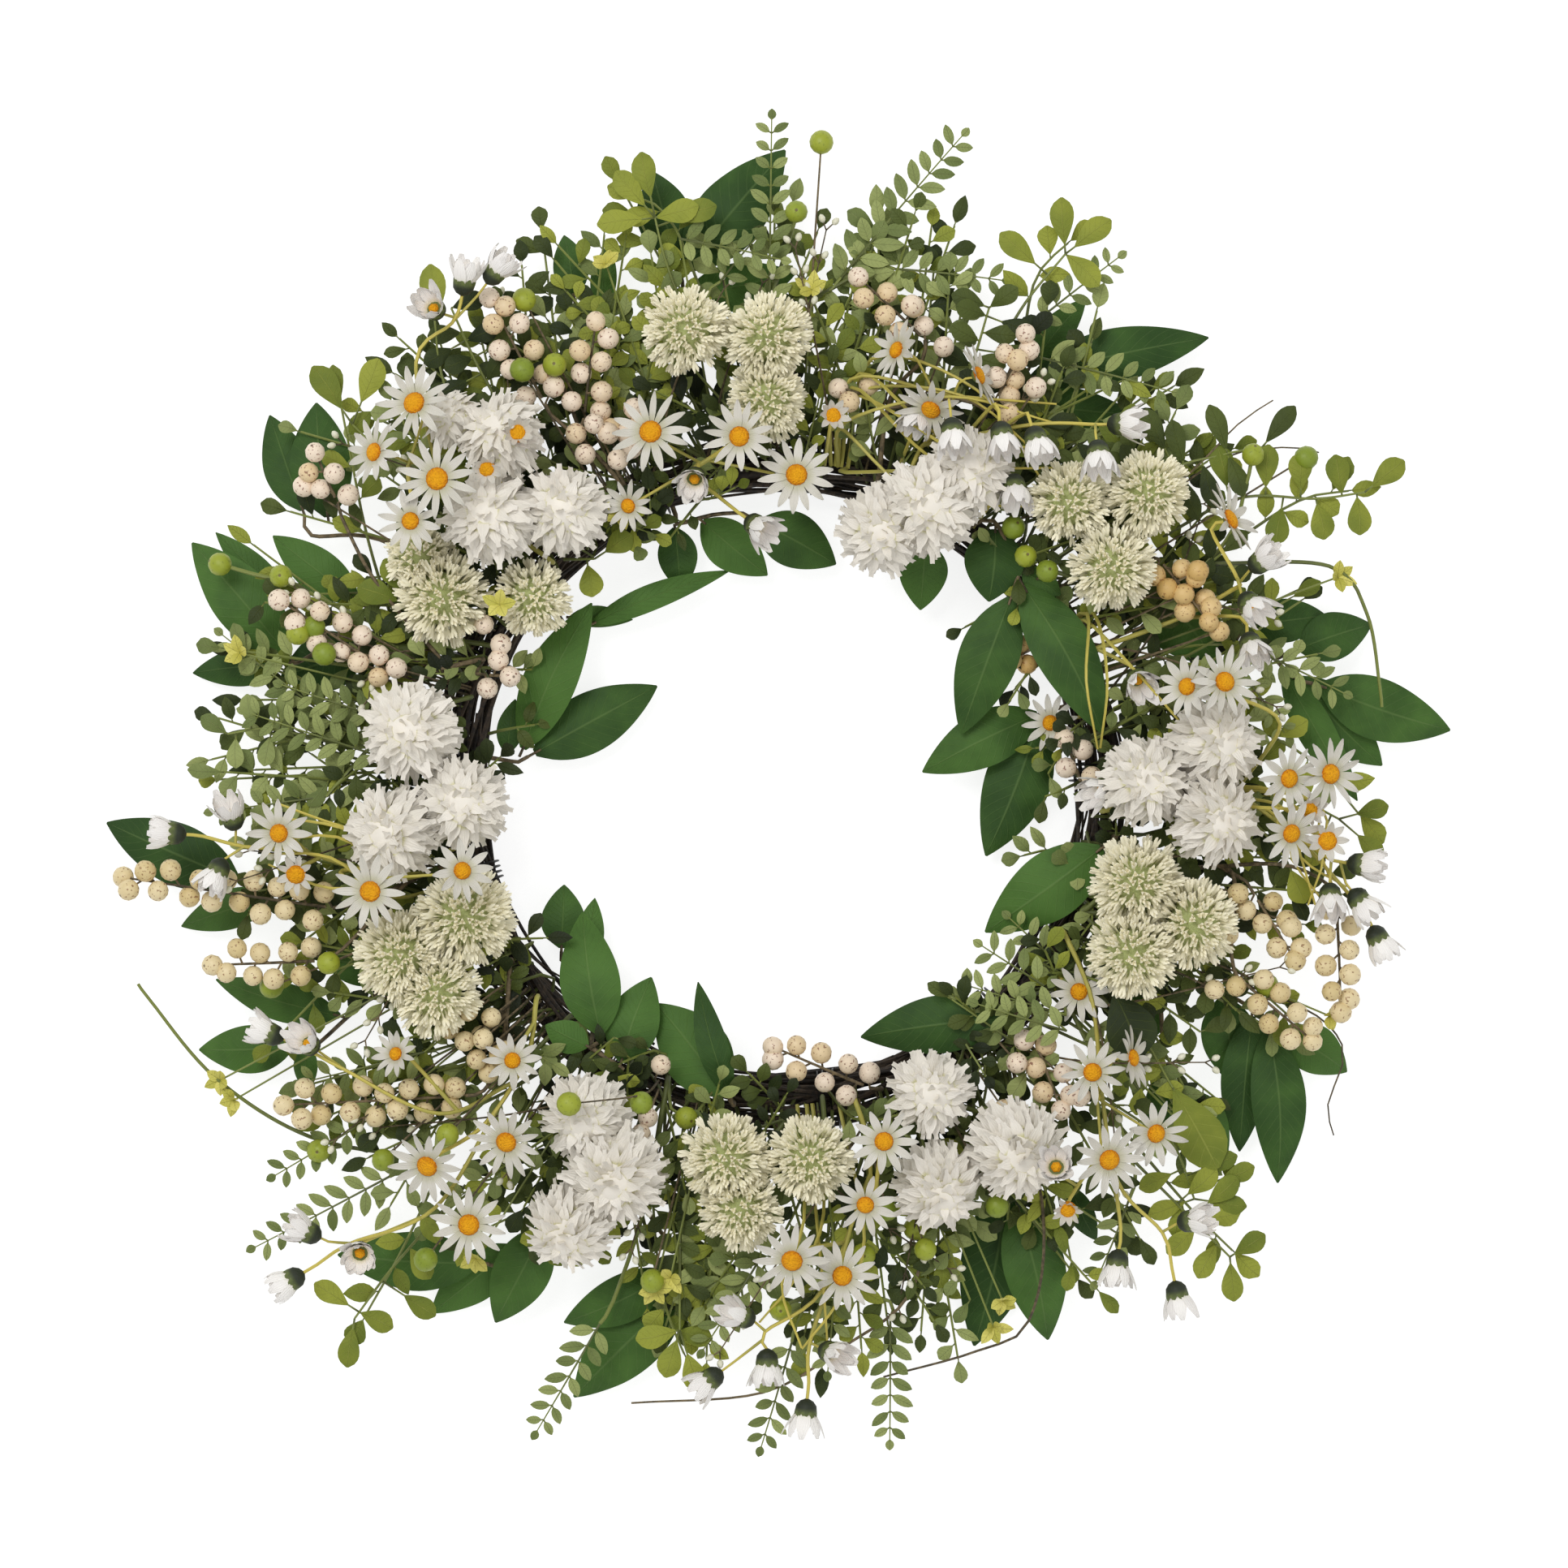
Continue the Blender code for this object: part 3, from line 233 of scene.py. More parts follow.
def cloth_leaf(name, deep, bright, vein, veins=13.0):
    """Coated cloth with a pressed rib and side veins. No two leaves are quite the same green."""
    made = Finish(name, deep, LEAF_ROUGHNESS, Specular_IOR_Level=0.25)
    side = abs(made.across)
    rib = 1 - made.between(side, 0.0, 0.07)
    wave = made.ripple(made.along * veins - side * (veins * 0.2))
    pressed = (1 - made.between(wave, 0.0, 0.09)) * (1 - made.between(side, 0.75, 1.0))
    lines = made.node("Math", {"operation": "MAXIMUM"}, {0: rib, 1: pressed * 0.45})
    cloud = made.noise(55, 3)
    colour = made.mixed(made.between(cloud * 0.7 + made.own * 0.55, 0.25, 0.95), deep, bright)
    colour = made.mixed(lines * VEIN_SHARE, colour, vein)
    weave = made.noise(1700, 1)
    height = weave * 0.3 + (1 - lines) * 0.7 + cloud * 0.5
    return made.wear(colour, weave * 0.16 + cloud * 0.12 + (LEAF_ROUGHNESS - 0.14), height, 0.3)


def petal(name, colour, base, shade, ribs, base_until=0.45):
    """Thin cloth with fine ribs along it. Where it joins the head it turns yellow-green: partly the petal's
    own tint and partly painted shade, for the shadow between the petals deep in a head.
    """
    made = Finish(name, colour, PETAL_ROUGHNESS)
    folds = made.ripple(made.across * ribs)
    cloud = made.noise(140)
    tone = made.mixed(made.between(cloud * 0.6 + made.own * 0.5, 0.2, 0.95), colour, shade)
    # Towards the base: partly the petal's own yellow-green tint and partly painted shade between the petals
    tone = made.mixed(made.between(made.along, base_until, 0.1), tone, base)
    relief = folds * 0.8 + made.noise(1500, 1) * 0.25
    return made.wear(tone, cloud * 0.2 + (PETAL_ROUGHNESS - 0.1), relief, 0.28)


TWIG = bark("dark_twig", (27, 22, 19), (68, 56, 44), 0.85)
BERRY_TWIG = bark("berry_twig", (66, 58, 40), (122, 106, 78), 0.8)
WIRE = Finish("binding_wire", (22, 22, 20), 0.4, Metallic=0.6)
WIRE.wear(roughness=WIRE.noise(900) * 0.3 + 0.25, height=WIRE.noise(1600), depth=0.05)
GREEN_STEM = stem("green_stem", (84, 92, 44), (122, 132, 60))
YELLOW_STEM = stem("yellow_stem", (168, 162, 78), (206, 190, 88))

LAUREL = cloth_leaf("laurel_leaf", (40, 69, 24), (76, 112, 46), (108, 134, 76))
FERN = cloth_leaf("fern_leaflet", (100, 114, 60), (152, 162, 98), (170, 178, 122), 6.0)
LIME_LEAF = cloth_leaf("lime_leaf", (96, 110, 34), (150, 156, 58), (170, 174, 88), 7.0)
OLIVE_LEAF = cloth_leaf("olive_leaf", (34, 46, 17), (80, 92, 38), (102, 112, 58), 7.0)
# Painted shade: a near-black leaf green for leaves deep in the undergrowth and low over the ring, standing
# for the shadow there
PAINTED_SHADE_LEAF = cloth_leaf("painted_shade_leaf", (24, 32, 14), (50, 60, 28), (66, 76, 40), 7.0)
BRACT = cloth_leaf("yellow_bract", (184, 180, 78), (214, 206, 108), (190, 186, 84), 5.0)

# Each petal finish takes its colour, a yellow-green for its base that is partly its own tint and partly
# painted shade, and a second tone that it takes at random
MUM_PETAL = petal("chrysanthemum_petal", (239, 233, 222), (213, 209, 163), (227, 221, 208), 2.2,
                  base_until=0.28)
DAISY_PETAL = petal("daisy_petal", (216, 212, 201), (192, 190, 162), (203, 199, 186), 2.6)
BUD_PETAL = petal("bud_petal", (250, 247, 242), (224, 220, 176), (240, 236, 232), 3.0)

DAISY_EYE = Finish("daisy_centre", (226, 156, 24), 0.75, Specular_IOR_Level=0.2)
grains = DAISY_EYE.cells(1250)
DAISY_EYE.wear(
    DAISY_EYE.mixed(DAISY_EYE.between(DAISY_EYE.along + grains * 0.5, 0.25, 1.1), (206, 110, 8),
                    (236, 166, 22)),
    grains * 0.3 + 0.55, 1 - grains, 0.7)

CALYX = Finish("bud_calyx", (38, 46, 26), 0.7)
CALYX.wear(CALYX.mixed(CALYX.between(CALYX.along, 0.55, 1.0), (34, 42, 24), (96, 108, 52)),
           CALYX.noise(600) * 0.3 + 0.5, CALYX.noise(1200), 0.2)

FLORET = Finish("allium_floret", (232, 226, 204), 0.6)
tip_share = FLORET.between(FLORET.along + FLORET.noise(110) * 0.3 + FLORET.own * 0.25, 0.5, 0.95)
FLORET.wear(FLORET.mixed(tip_share, (172, 177, 108), (248, 242, 216)),
            FLORET.noise(800) * 0.3 + 0.45, FLORET.noise(1500), 0.2)
ALLIUM_HEART = Finish("allium_heart", (120, 148, 82), 0.8)
ALLIUM_HEART.wear(ALLIUM_HEART.mixed(ALLIUM_HEART.noise(400), (140, 152, 86), (190, 196, 138)),
                  height=ALLIUM_HEART.noise(900), depth=0.8)


def painted_berry(name, colour, other, speck, speck_share):
    """A foam berry, painted and spattered, with the dark dot of its calyx at the end."""
    made = Finish(name, colour, 0.45)
    spots = made.noise(760, 2)
    cloud = made.noise(180)
    tone = made.mixed(made.between(made.own + cloud * 0.3, 0.5, 1.1), colour, other)
    tone = made.mixed(made.between(spots, 0.6, 0.66) * speck_share, tone, speck)
    tone = made.mixed(made.between(made.along, 0.93, 0.985) * 0.8, tone, (84, 60, 34))
    return made.wear(tone, spots * 0.3 + 0.34, spots * 0.5 + made.between(made.along, 1.0, 0.9), 0.25)


BERRY = painted_berry("cream_berry", (238, 220, 198), (226, 202, 160), (124, 72, 50), 0.85)
HONEY_BERRY = painted_berry("honey_berry", (226, 196, 138), (206, 168, 98), (140, 84, 40), 0.7)
STRAW_BERRY = painted_berry("straw_berry", (228, 210, 166), (212, 190, 136), (130, 84, 46), 0.8)
BERRIES_OF_SPRAY = {"berries_right_upper": HONEY_BERRY, "berries_left_long": STRAW_BERRY,
                    "berries_lower_left": STRAW_BERRY, "berries_right": STRAW_BERRY}
LIME = painted_berry("lime_berry", (154, 164, 46), (126, 144, 38), (96, 108, 30), 0.4)
SEED_BUD = Finish("seed_bud", (228, 226, 206), 0.5)
SEED_BUD.wear(SEED_BUD.mixed(SEED_BUD.noise(500), (206, 204, 164), (240, 238, 226)),
              height=SEED_BUD.noise(1400), depth=0.15)


def unit(vector):
    vector = np.asarray(vector, float)
    return vector / np.linalg.norm(vector)


def point(*numbers):
    return np.array(numbers, float)


def frame_along(direction, up=(0, 0, 1)):
    """A rotation whose Z runs along the direction, whose Y points upwards and whose X lies level."""
    z = unit(direction)
    x = np.cross(up, z)
    if np.linalg.norm(x) < 1e-3:
        x = point(1, 0, 0) - z * z[0]
    x = unit(x)
    return np.stack([x, np.cross(z, x), z], axis=1)


def spun(about, radians):
    """The rotation turned about its own Z."""
    c, s = math.cos(radians), math.sin(radians)
    return about @ np.array([[c, -s, 0], [s, c, 0], [0, 0, 1]])


def tilted(about, forward, sideways):
    """The rotation leant about its own X, then about its own Y."""
    c, s = math.cos(forward), math.sin(forward)
    about = about @ np.array([[1, 0, 0], [0, c, -s], [0, s, c]])
    c, s = math.cos(sideways), math.sin(sideways)
    return about @ np.array([[c, 0, s], [0, 1, 0], [-s, 0, c]])


def spanned(base, tip):
    """Two points, and the rotation that runs from the first to the second."""
    base, tip = np.asarray(base, float), np.asarray(tip, float)
    return base, tip, frame_along(tip - base)


def placed(centre, facing):
    """A point, and a rotation that faces this way with a turn drawn at random."""
    return np.asarray(centre, float), spun(frame_along(facing), draw.uniform(0, 6))


def drooped(points):
    """Points, lowered by how far they lie outside the ring."""
    share = (np.hypot(points[:, 0], points[:, 1]) - DROOP_FROM) / (DROOP_TO - DROOP_FROM)
    lowered = points.copy()
    lowered[:, 2] -= DROOP * np.clip(share, 0.0, 1.2) ** 2
    return lowered


def path_length(points):
    return sum(np.linalg.norm(b - a) for a, b in zip(points, points[1:]))


def partway(points, length):
    """The point this far along a path."""
    for a, b in zip(points, points[1:]):
        step = np.linalg.norm(b - a)
        if length <= step:
            return a + (b - a) * (length / step)
        length -= step
    return points[-1]


def curve(points, spacing=5.0):
    """Points at about this spacing on a smooth path through these."""
    points = [np.asarray(p, float) for p in points]
    ends = [2 * points[0] - points[1], *points, 2 * points[-1] - points[-2]]
    path = [points[0]]
    for a, b, c, d in zip(ends, ends[1:], ends[2:], ends[3:]):
        steps = max(1, round(np.linalg.norm(c - b) / spacing))
        for i in range(1, steps + 1):
            t = i / steps
            path.append(0.5 * (2 * b + (c - a) * t + (2 * a - 5 * b + 4 * c - d) * t * t
                               + (3 * b - a - 3 * c + d) * t**3))
    return path


class Form:
    """A closed shape through rings of points, with each point's place along and across it."""

    def __init__(self, rings, across=None):
        rings = np.asarray(rings, float)
        rows, sides = rings.shape[:2]
        self.points = rings.reshape(-1, 3)
        along = np.repeat(np.linspace(0, 1, rows), sides)
        across = np.zeros(sides) if across is None else across
        self.grain = np.stack([along, np.tile(across, rows), np.zeros(rows * sides)], axis=1)
        row, side = np.meshgrid(np.arange(rows - 1), np.arange(sides), indexing="ij")
        a = row * sides + side
        b = row * sides + (side + 1) % sides
        quads = np.stack([a, b, b + sides, a + sides], axis=-1).reshape(-1)
        last = (rows - 1) * sides
        self.corners = np.concatenate([quads, np.arange(sides)[::-1], last + np.arange(sides)])
        self.sizes = np.array([4] * ((rows - 1) * sides) + [sides, sides])

    def joined(self, others):
        """This shape and the others as one."""
        for other in others:
            self.corners = np.concatenate([self.corners, other.corners + len(self.points)])
            self.sizes = np.concatenate([self.sizes, other.sizes])
            self.points = np.concatenate([self.points, other.points])
            self.grain = np.concatenate([self.grain, other.grain])
        return self


def round_ring(radius, sides, high=0.0):
    angles = 2 * math.pi * np.arange(sides) / sides
    return np.stack([radius * np.cos(angles), radius * np.sin(angles), np.full(sides, high)], axis=1)


def lathe(profile, sides):
    """A round form from pairs of radius and height."""
    return Form([round_ring(radius, sides, high) for radius, high in profile])


def blade_sides(columns):
    """Places across a blade: from edge to edge on top, and back underneath."""
    top = np.linspace(-1, 1, columns + 1)
    return np.concatenate([top, top[-2:0:-1]])


def blade(middles, halves, frames, columns, lift, thickness):
    """A thin blade along middle points. Its lift gives a height for each row and place across it."""
    across = blade_sides(columns)
    under = np.arange(2 * columns) > columns
    rings = []
    for i, (middle, half, around) in enumerate(zip(middles, halves, frames)):
        half = max(half, THINNEST_HALF)
        high = lift(i / (len(middles) - 1), across) * half
        high = high - np.where(under, thickness * np.sqrt(1 - across**2) * min(half, 1), 0)
        rings.append(middle + np.outer(across * half, around[:, 0]) + np.outer(high, around[:, 1]))
    return Form(rings, across)


def flat_blade(length, halves, cup, arch, thickness):
    """A petal from the origin along Z with its face along Y. Arch bends its tip up or down."""
    rows = len(halves) - 1
    places = np.linspace(0, 1, rows + 1)
    middles = [point(0, arch * length * t * t, length * t) for t in places]
    frames = [tilted(np.eye(3), -2 * arch * t, 0) for t in places]
    return blade(middles, halves, frames, PETAL_COLUMNS, lambda t, x: cup * x * x * (0.3 + t), thickness)


def tube(points, radii, sides=6):
    """A stem along points, with a radius for each."""
    rings, last = [], len(points) - 1
    across = frame_along(points[1] - points[0])[:, 0]
    for i, (middle, radius) in enumerate(zip(points, radii)):
        way = unit(points[min(i + 1, last)] - points[max(i - 1, 0)])
        across = unit(across - way * (across @ way))
        around = np.stack([across, np.cross(way, across), way], axis=1)
        rings.append(middle + round_ring(radius, sides) @ around.T)
    return Form(rings)


# Shapes that repeat: each is made once, with a few variants, and placed many times
MUM_HALVES = np.array([0.6, 0.92, 1.0, 0.78, 0.4, 0.02])
MUM_ARCHES = (-0.2, -0.08, 0.04, 0.16)
MUM_PETALS = [flat_blade(1.0, MUM_HALVES * 0.155, 0.25, arch, 0.025) for arch in MUM_ARCHES]
DAISY_HALVES = np.array([0.5, 0.78, 0.95, 1.0, 0.92, 0.66, 0.2])
BALL = lathe([(math.cos(a), math.sin(a)) for a in np.radians((-80, -55, -28, 0, 28, 55, 74, 86))], 12)
BEAD = lathe([(0.3, -0.9), (0.9, -0.45), (1.0, 0.1), (0.7, 0.7), (0.15, 1.0)], 6)
EYE_FORM = lathe([(0.9, -0.25), (1.0, 0.1), (0.92, 0.34), (0.66, 0.56), (0.34, 0.66), (0.08, 0.68)], 14)
CALYX_TEETH = 9


def calyx_form():
    """A little cup whose rim stands in teeth."""
    profile = ((0.16, -0.5), (0.6, -0.36), (0.93, -0.1), (1.0, 0.16))
    rings = [round_ring(radius, CALYX_TEETH * 2, high) for radius, high in profile]
    rim = round_ring(1.04, CALYX_TEETH * 2, 0.3)
    rim[::2, 2] += 0.34
    rim[::2, :2] *= 1.03
    return Form([*rings, rim])


CALYX_FORM = calyx_form()


def floret_form():
    """A thin stalk that forks into three knobs at height 1."""
    knobs = []
    for turn in (0, 2.1, 4.2):
        lean = point(math.cos(turn), math.sin(turn), 0)
        knob = Form([round_ring(radius, 3, high) + lean * off
                     for radius, high, off in ((0.3, 0.55, 0.1), (0.74, 0.87, 0.85), (0.3, 1.0, 1.0))])
        knob.grain[:, 0] = 0.55 + 0.45 * knob.grain[:, 0]
        knobs.append(knob)
    return lathe([(0.42, 0), (0.38, 0.4), (0.5, 0.7)], 3).joined(knobs)


FLORET_FORM = floret_form()


def bud_petal_form(flare):
    """One petal of a half-closed daisy about its Z, for a bud of size 1 with its middle at the origin."""
    places = np.linspace(0, 1, 7)
    middles = [point(0, -(0.1 + 0.36 * math.sin(1.75 * t) + flare * t**3), -0.3 + 0.86 * t) for t in places]
    halves = np.array([0.06, 0.12, 0.16, 0.175, 0.165, 0.115, 0.02])
    frames = [tilted(np.eye(3), 0.5 - 0.5 * t, 0) for t in places]
    return blade(middles, halves, frames, PETAL_COLUMNS, lambda t, x: 0.25 * x * x, 0.02)


BUD_PETALS = [bud_petal_form(flare) for flare in (-0.06, 0.02, 0.12)]


def post(x, y, z):
    """A post that stands in the ring's twigs, and its top."""
    return [point(x, y, RING_CENTRE_Z + 6), point(x, y, z)]


def side_seat(degrees, outside):
    """Where a stem comes out of the ring's outer or inner flank."""
    out = point(math.cos(math.radians(degrees)), math.sin(math.radians(degrees)), 0)
    level = point(0, 0, LEAF_SEAT_Z)
    return [out * (RING_RADIUS + step * (1 if outside else -1)) + level for step in (7, 15)]


class Sprig:
    """What grows from one foot on the ring, gathered into one piece with a finish for each kind of part."""

    made = {}

    def __init__(self, name, slot, stems):
        self.name, self.slot, self.stems = name, slot, stems
        self.points, self.grain, self.corners, self.sizes, self.worn = [], [], [], [], []
        self.finishes = []
        self.count = 0
        self.runs = []
        Sprig.made[name] = self

    def put(self, form, finish, at=(0, 0, 0), around=None, size=1.0, own=None):
        """A form at a point, turned and sized, with a number of its own that varies its finish."""
        points = form.points * np.asarray(size, float)
        if around is not None:
            points = points @ around.T
        grain = form.grain.copy()
        grain[:, 2] = draw.random() if own is None else own
        if finish not in self.finishes:
            self.finishes.append(finish)
        self.points.append(points + np.asarray(at, float))
        self.grain.append(grain)
        self.corners.append(form.corners + self.count)
        self.sizes.append(form.sizes)
        self.worn.append(np.full(len(form.sizes), self.finishes.index(finish)))
        self.count += len(points)

    def stalk(self, path, radius=STEM, finish=None, taper=0.75, sides=6):
        """A stem along a path, thinner at its end."""
        radii = np.linspace(radius, radius * taper, len(path))
        self.put(tube(path, radii, sides), finish or self.stems)

    def grow(self, points, end, radius=STEM):
        """A stem along points into what it ends in."""
        joint, around, dress = end
        points = [np.asarray(p, float) for p in points]
        if points:
            gap = np.linalg.norm(joint - points[-1])
            before = [joint - around[:, 2] * min(0.3 * gap, 10)] if gap > 12 else []
            points = curve([*points, *before, joint])
            self.stalk(points, radius)
        dress(self)
        return points or [joint]

    def fan(self, points, ends, radius=STEM):
        """A stem along points into the first end. Side stems to the others leave it, a little apart."""
        main = self.grow(points, ends[0], radius)
        parting = path_length([np.asarray(p, float) for p in points])
        for k, end in enumerate(ends[1:]):
            start = partway(main, parting + k * SIDE_STEM_SPACING) if len(points) > 1 else main[0]
            self.grow([start], end, SIDE_STEM)
        self.runs.append(main)
        return main

    def make(self):
        """The piece's mesh, in metres, in place of its node."""
        points = drooped(np.concatenate(self.points)) * MM
        corners, sizes = np.concatenate(self.corners), np.concatenate(self.sizes)
        mesh = bpy.data.meshes.new(self.name)
        mesh.vertices.add(len(points))
        mesh.vertices.foreach_set("co", points.ravel())
        mesh.loops.add(len(corners))
        mesh.loops.foreach_set("vertex_index", corners)
        mesh.polygons.add(len(sizes))
        mesh.polygons.foreach_set("loop_start", np.concatenate([[0], np.cumsum(sizes)[:-1]]))
        mesh.polygons.foreach_set("material_index", np.concatenate(self.worn))
        grain = mesh.attributes.new("grain", "FLOAT_VECTOR", "POINT")
        grain.data.foreach_set("vector", np.concatenate(self.grain).ravel())
        mesh.update(calc_edges=True)
        mesh.shade_smooth()
        mesh.set_sharp_from_angle(angle=math.radians(60))
        for finish in self.finishes:
            mesh.materials.append(finish.material)
        piece = bpy.data.objects.new(self.name + "_dressed", mesh)
        bpy.context.scene.collection.objects.link(piece)
        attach(piece, "root")
        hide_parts(self.name)


def laurel(t):
    return math.sin(math.pi * t**0.84) ** 0.8


def obovate(t):
    return math.sin(math.pi * t**1.5) ** 0.6


def oval(t):
    return math.sin(math.pi * t**0.9) ** 0.6


def leaf_form(base, tip, width, rise, outline, rows, columns):
    """A leaf from base to tip that arches by its rise, folds along its rib and ruffles at its edges."""
    base, tip, around = spanned(base, tip)
    length = np.linalg.norm(tip - base)
    bend = draw.uniform(-0.03, 0.03) * length
    phase, waves = draw.uniform(0, 6), draw.uniform(1.5, 3)
    middles, halves = [], []
    for i in range(rows + 1):
        t = i / rows
        middle = base + (tip - base) * t + around[:, 0] * bend * math.sin(math.pi * t)
        middles.append(middle + point(0, 0, rise * math.sin(math.pi * t)))
        halves.append(width / 2 * outline(min(max(t, 0.012), 0.995)))

    def lift(t, x):
        wave = LEAF_RUFFLE * np.sin(phase + waves * 2 * math.pi * t + 1.2 * np.sign(x)) * x**2
        return LEAF_FOLD * np.abs(x) ** 1.4 + wave

    return blade(middles, halves, [around] * (rows + 1), columns, lift, 0.5)


LARGE_LEAVES = []


def leaf(base, tip, width, rise=5.0):
    """A large laurel leaf with its short stalk."""
    base, tip, around = spanned(base, tip)
    LARGE_LEAVES.append((base[:2], (tip - base)[:2], width / 2))

    def dress(sprig):
        rows, columns = (22, 8) if width > 16 else (16, 6)
        neck = base + (tip - base) * 0.05
        form = leaf_form(neck, tip, width, rise, laurel, rows, columns)
        sprig.put(form, LAUREL)
        sprig.stalk([base, base + (tip - base) * 0.1 + point(0, 0, rise * 0.3)], SIDE_STEM)

    return base, around, dress


# Where the floor shows between the sprays: a place and how far round it
OPENINGS = ((-198, 105, 13), (-180, 109, 11), (-211, 114, 9), (-178, 96, 8), (-184, 9, 11), (-206, 10, 8),
            (195, -133, 11), (-89, -226, 11), (-191, -115, 10), (-205, -130, 9), (29, 136, 10),
            (42, 142, 9), (227, 94, 10), (217, 103, 10), (237, 18, 10), (228, 31, 9), (224, 41, 8),
            (28, -132, 10), (41, -125, 8), (-23, 123, 10), (-228, -68, 10), (224, -82, 10), (-147, -121, 8),
            (164, -114, 8), (136, -205, 8), (-120, -204, 8), (-11, -245, 8), (24, 244, 8), (78, 81, 12),
            (-69, 90, 12))


def kept_clear(place):
    """Whether a place lies over the outer part of a large leaf, or in an opening, seen from the front."""
    if any(math.hypot(place[0] - x, place[1] - y) < far for x, y, far in OPENINGS):
        return True
    for base, along, half in LARGE_LEAVES:
        length = math.hypot(*along)
        t = np.dot(place[:2] - base, along) / length**2
        aside = abs(np.dot(place[:2] - base, (-along[1], along[0]))) / length
        if 0.35 < t < 1 and aside < half * laurel(t):
            return True
    return False


def arched(base, tip, rise, count):
    """This many points from base to tip, in an arch."""
    ways = np.linspace(0, 1, count)
    return [base + (tip - base) * t + point(0, 0, rise * math.sin(math.pi * t)) for t in ways]


def frond(base, tip, leaflet):
    """A fern frond: a thin rib between pairs of small oval leaflets."""
    base, tip, around = spanned(base, tip)

    def dress(sprig):
        length = np.linalg.norm(tip - base)
        count = max(3, round(length / LEAFLET_SPACING))
        rib = arched(base, tip, FROND_RISE, 9)
        sprig.stalk(rib, 0.6, GREEN_STEM, 0.5, 5)
        for i in range(count):
            t = (i + 0.4) / (count + 0.3)
            start = base + (tip - base) * t + point(0, 0, FROND_RISE * math.sin(math.pi * t))
            size = leaflet * (1.15 - 0.4 * t * t)
            for side in (-1, 1):
                out = around[:, 0] * side + around[:, 2] * draw.uniform(0.5, 0.8)
                out = unit(out + point(0, 0, draw.uniform(-0.15, 0.35)))
                end = start + out * size * draw.uniform(0.9, 1.15)
                sprig.put(leaf_form(start + out * 1.2, end, size * 0.46, 0.8, oval, 6, 2), FERN)
                sprig.stalk([start, start + out * 1.8], 0.35, GREEN_STEM, 1, 4)
        sprig.put(leaf_form(rib[-1] - around[:, 2], rib[-1] + around[:, 2] * 4, 4, 0.5, oval, 5, 2), FERN)

    return base, around, dress


def polar_point(polar, turn, radius):
    """A point on a ball of this radius, at an angle from its top and a turn about its height."""
    aside = math.sin(polar)
    return point(aside * math.cos(turn), aside * math.sin(turn), math.cos(polar)) * radius


def mum(centre, diameter, facing):
    """A chrysanthemum: pointed petals in layers, that stand off a round heart like scales."""
    centre, around = placed(centre, facing)
    radius = diameter / 2

    def dress(sprig):
        sprig.put(BALL, MUM_PETAL, centre, around, radius * 0.7, 0.3)
        count = round(MUM_PETAL_COUNT * (diameter / HEAD) ** 1.5)
        for k in range(count):
            polar = math.acos(1 - MUM_COVERED * (k + 0.5) / count)
            turn = k * GOLDEN_TURN + draw.uniform(-0.2, 0.2)
            root = polar_point(polar, turn, radius * 0.64)
            opened = min(1, 0.2 + polar)
            tip = polar_point(polar + draw.uniform(0.36, 0.6) * opened, turn + draw.uniform(-0.15, 0.15),
                              radius * draw.uniform(0.88, 1.06) * (0.9 + 0.1 * opened))
            way = around @ (tip - root)
            petal_frame = spun(frame_along(way, around @ root), draw.uniform(-0.35, 0.35))
            wide = radius * draw.uniform(0.72, 1.0) * (0.6 + 0.4 * opened)
            sprig.put(MUM_PETALS[draw.randrange(4)], MUM_PETAL, centre + around @ root, petal_frame,
                      (wide, wide, np.linalg.norm(way)))

    return centre - around[:, 2] * radius * 0.8, around, dress


def allium(centre, diameter, facing):
    """A round head of club-shaped florets on thin green stalks."""
    centre, around = placed(centre, facing)
    radius = diameter / 2

    def dress(sprig):
        sprig.put(BALL, ALLIUM_HEART, centre, around, radius * 0.56, 0.3)
        count = round(ALLIUM_FLORET_COUNT * (diameter / HEAD) ** 2)
        for k in range(count):
            polar = math.acos(1 - ALLIUM_COVERED * (k + 0.5) / count) + draw.uniform(-0.05, 0.05)
            turn = k * GOLDEN_TURN + draw.uniform(-0.15, 0.15)
            way = around @ polar_point(polar + draw.uniform(-0.1, 0.1), turn, 1)
            start = centre + around @ polar_point(polar, turn, radius * 0.4)
            reach = radius * (draw.uniform(0.74, 1.06) - 0.4) * (0.9 + 0.1 * math.sin(polar))
            floret_frame = spun(frame_along(way), draw.uniform(0, 2))
            sprig.put(FLORET_FORM, FLORET, start, floret_frame, (1.15, 1.15, reach))

    return centre - around[:, 2] * radius * 0.8, around, dress


def daisy(centre, diameter, facing, cup=0.12):
    """Narrow petals round a domed centre, over a small green calyx."""
    centre, around = placed(centre, facing)
    radius = diameter / 2

    def dress(sprig):
        count = 9 if diameter < 21 else 12 if diameter < 31 else 14
        start = radius * 0.2
        for k in range(count):
            turn = 2 * math.pi * (k + draw.uniform(-0.12, 0.12)) / count
            out = point(math.cos(turn), math.sin(turn), 0)
            climb = cup * 1.15 + draw.uniform(-0.12, 0.1)
            way = around @ (out * math.cos(climb) + point(0, 0, math.sin(climb)))
            petal_frame = spun(frame_along(way, around[:, 2]), draw.uniform(-0.25, 0.25))
            length = (radius - start) * draw.uniform(0.94, 1.06)
            half = min(1.85, math.pi * radius * 0.5 / count) * draw.uniform(0.85, 1.1)
            form = flat_blade(length, DAISY_HALVES * half, 0.3, draw.uniform(-0.1, 0.12), 0.4)
            sprig.put(form, DAISY_PETAL, centre + around @ (out * start), petal_frame)
        eye = 0.28 * radius if diameter > 21 else 0.47 * radius
        sprig.put(EYE_FORM, DAISY_EYE, centre, around, (eye, eye, 3.4))
        calyx = (eye * 0.85, eye * 0.85, 3.6)
        sprig.put(CALYX_FORM, GREEN_STEM, centre - around[:, 2] * 1.2, around, calyx)

    return centre - around[:, 2] * 2.2, around, dress


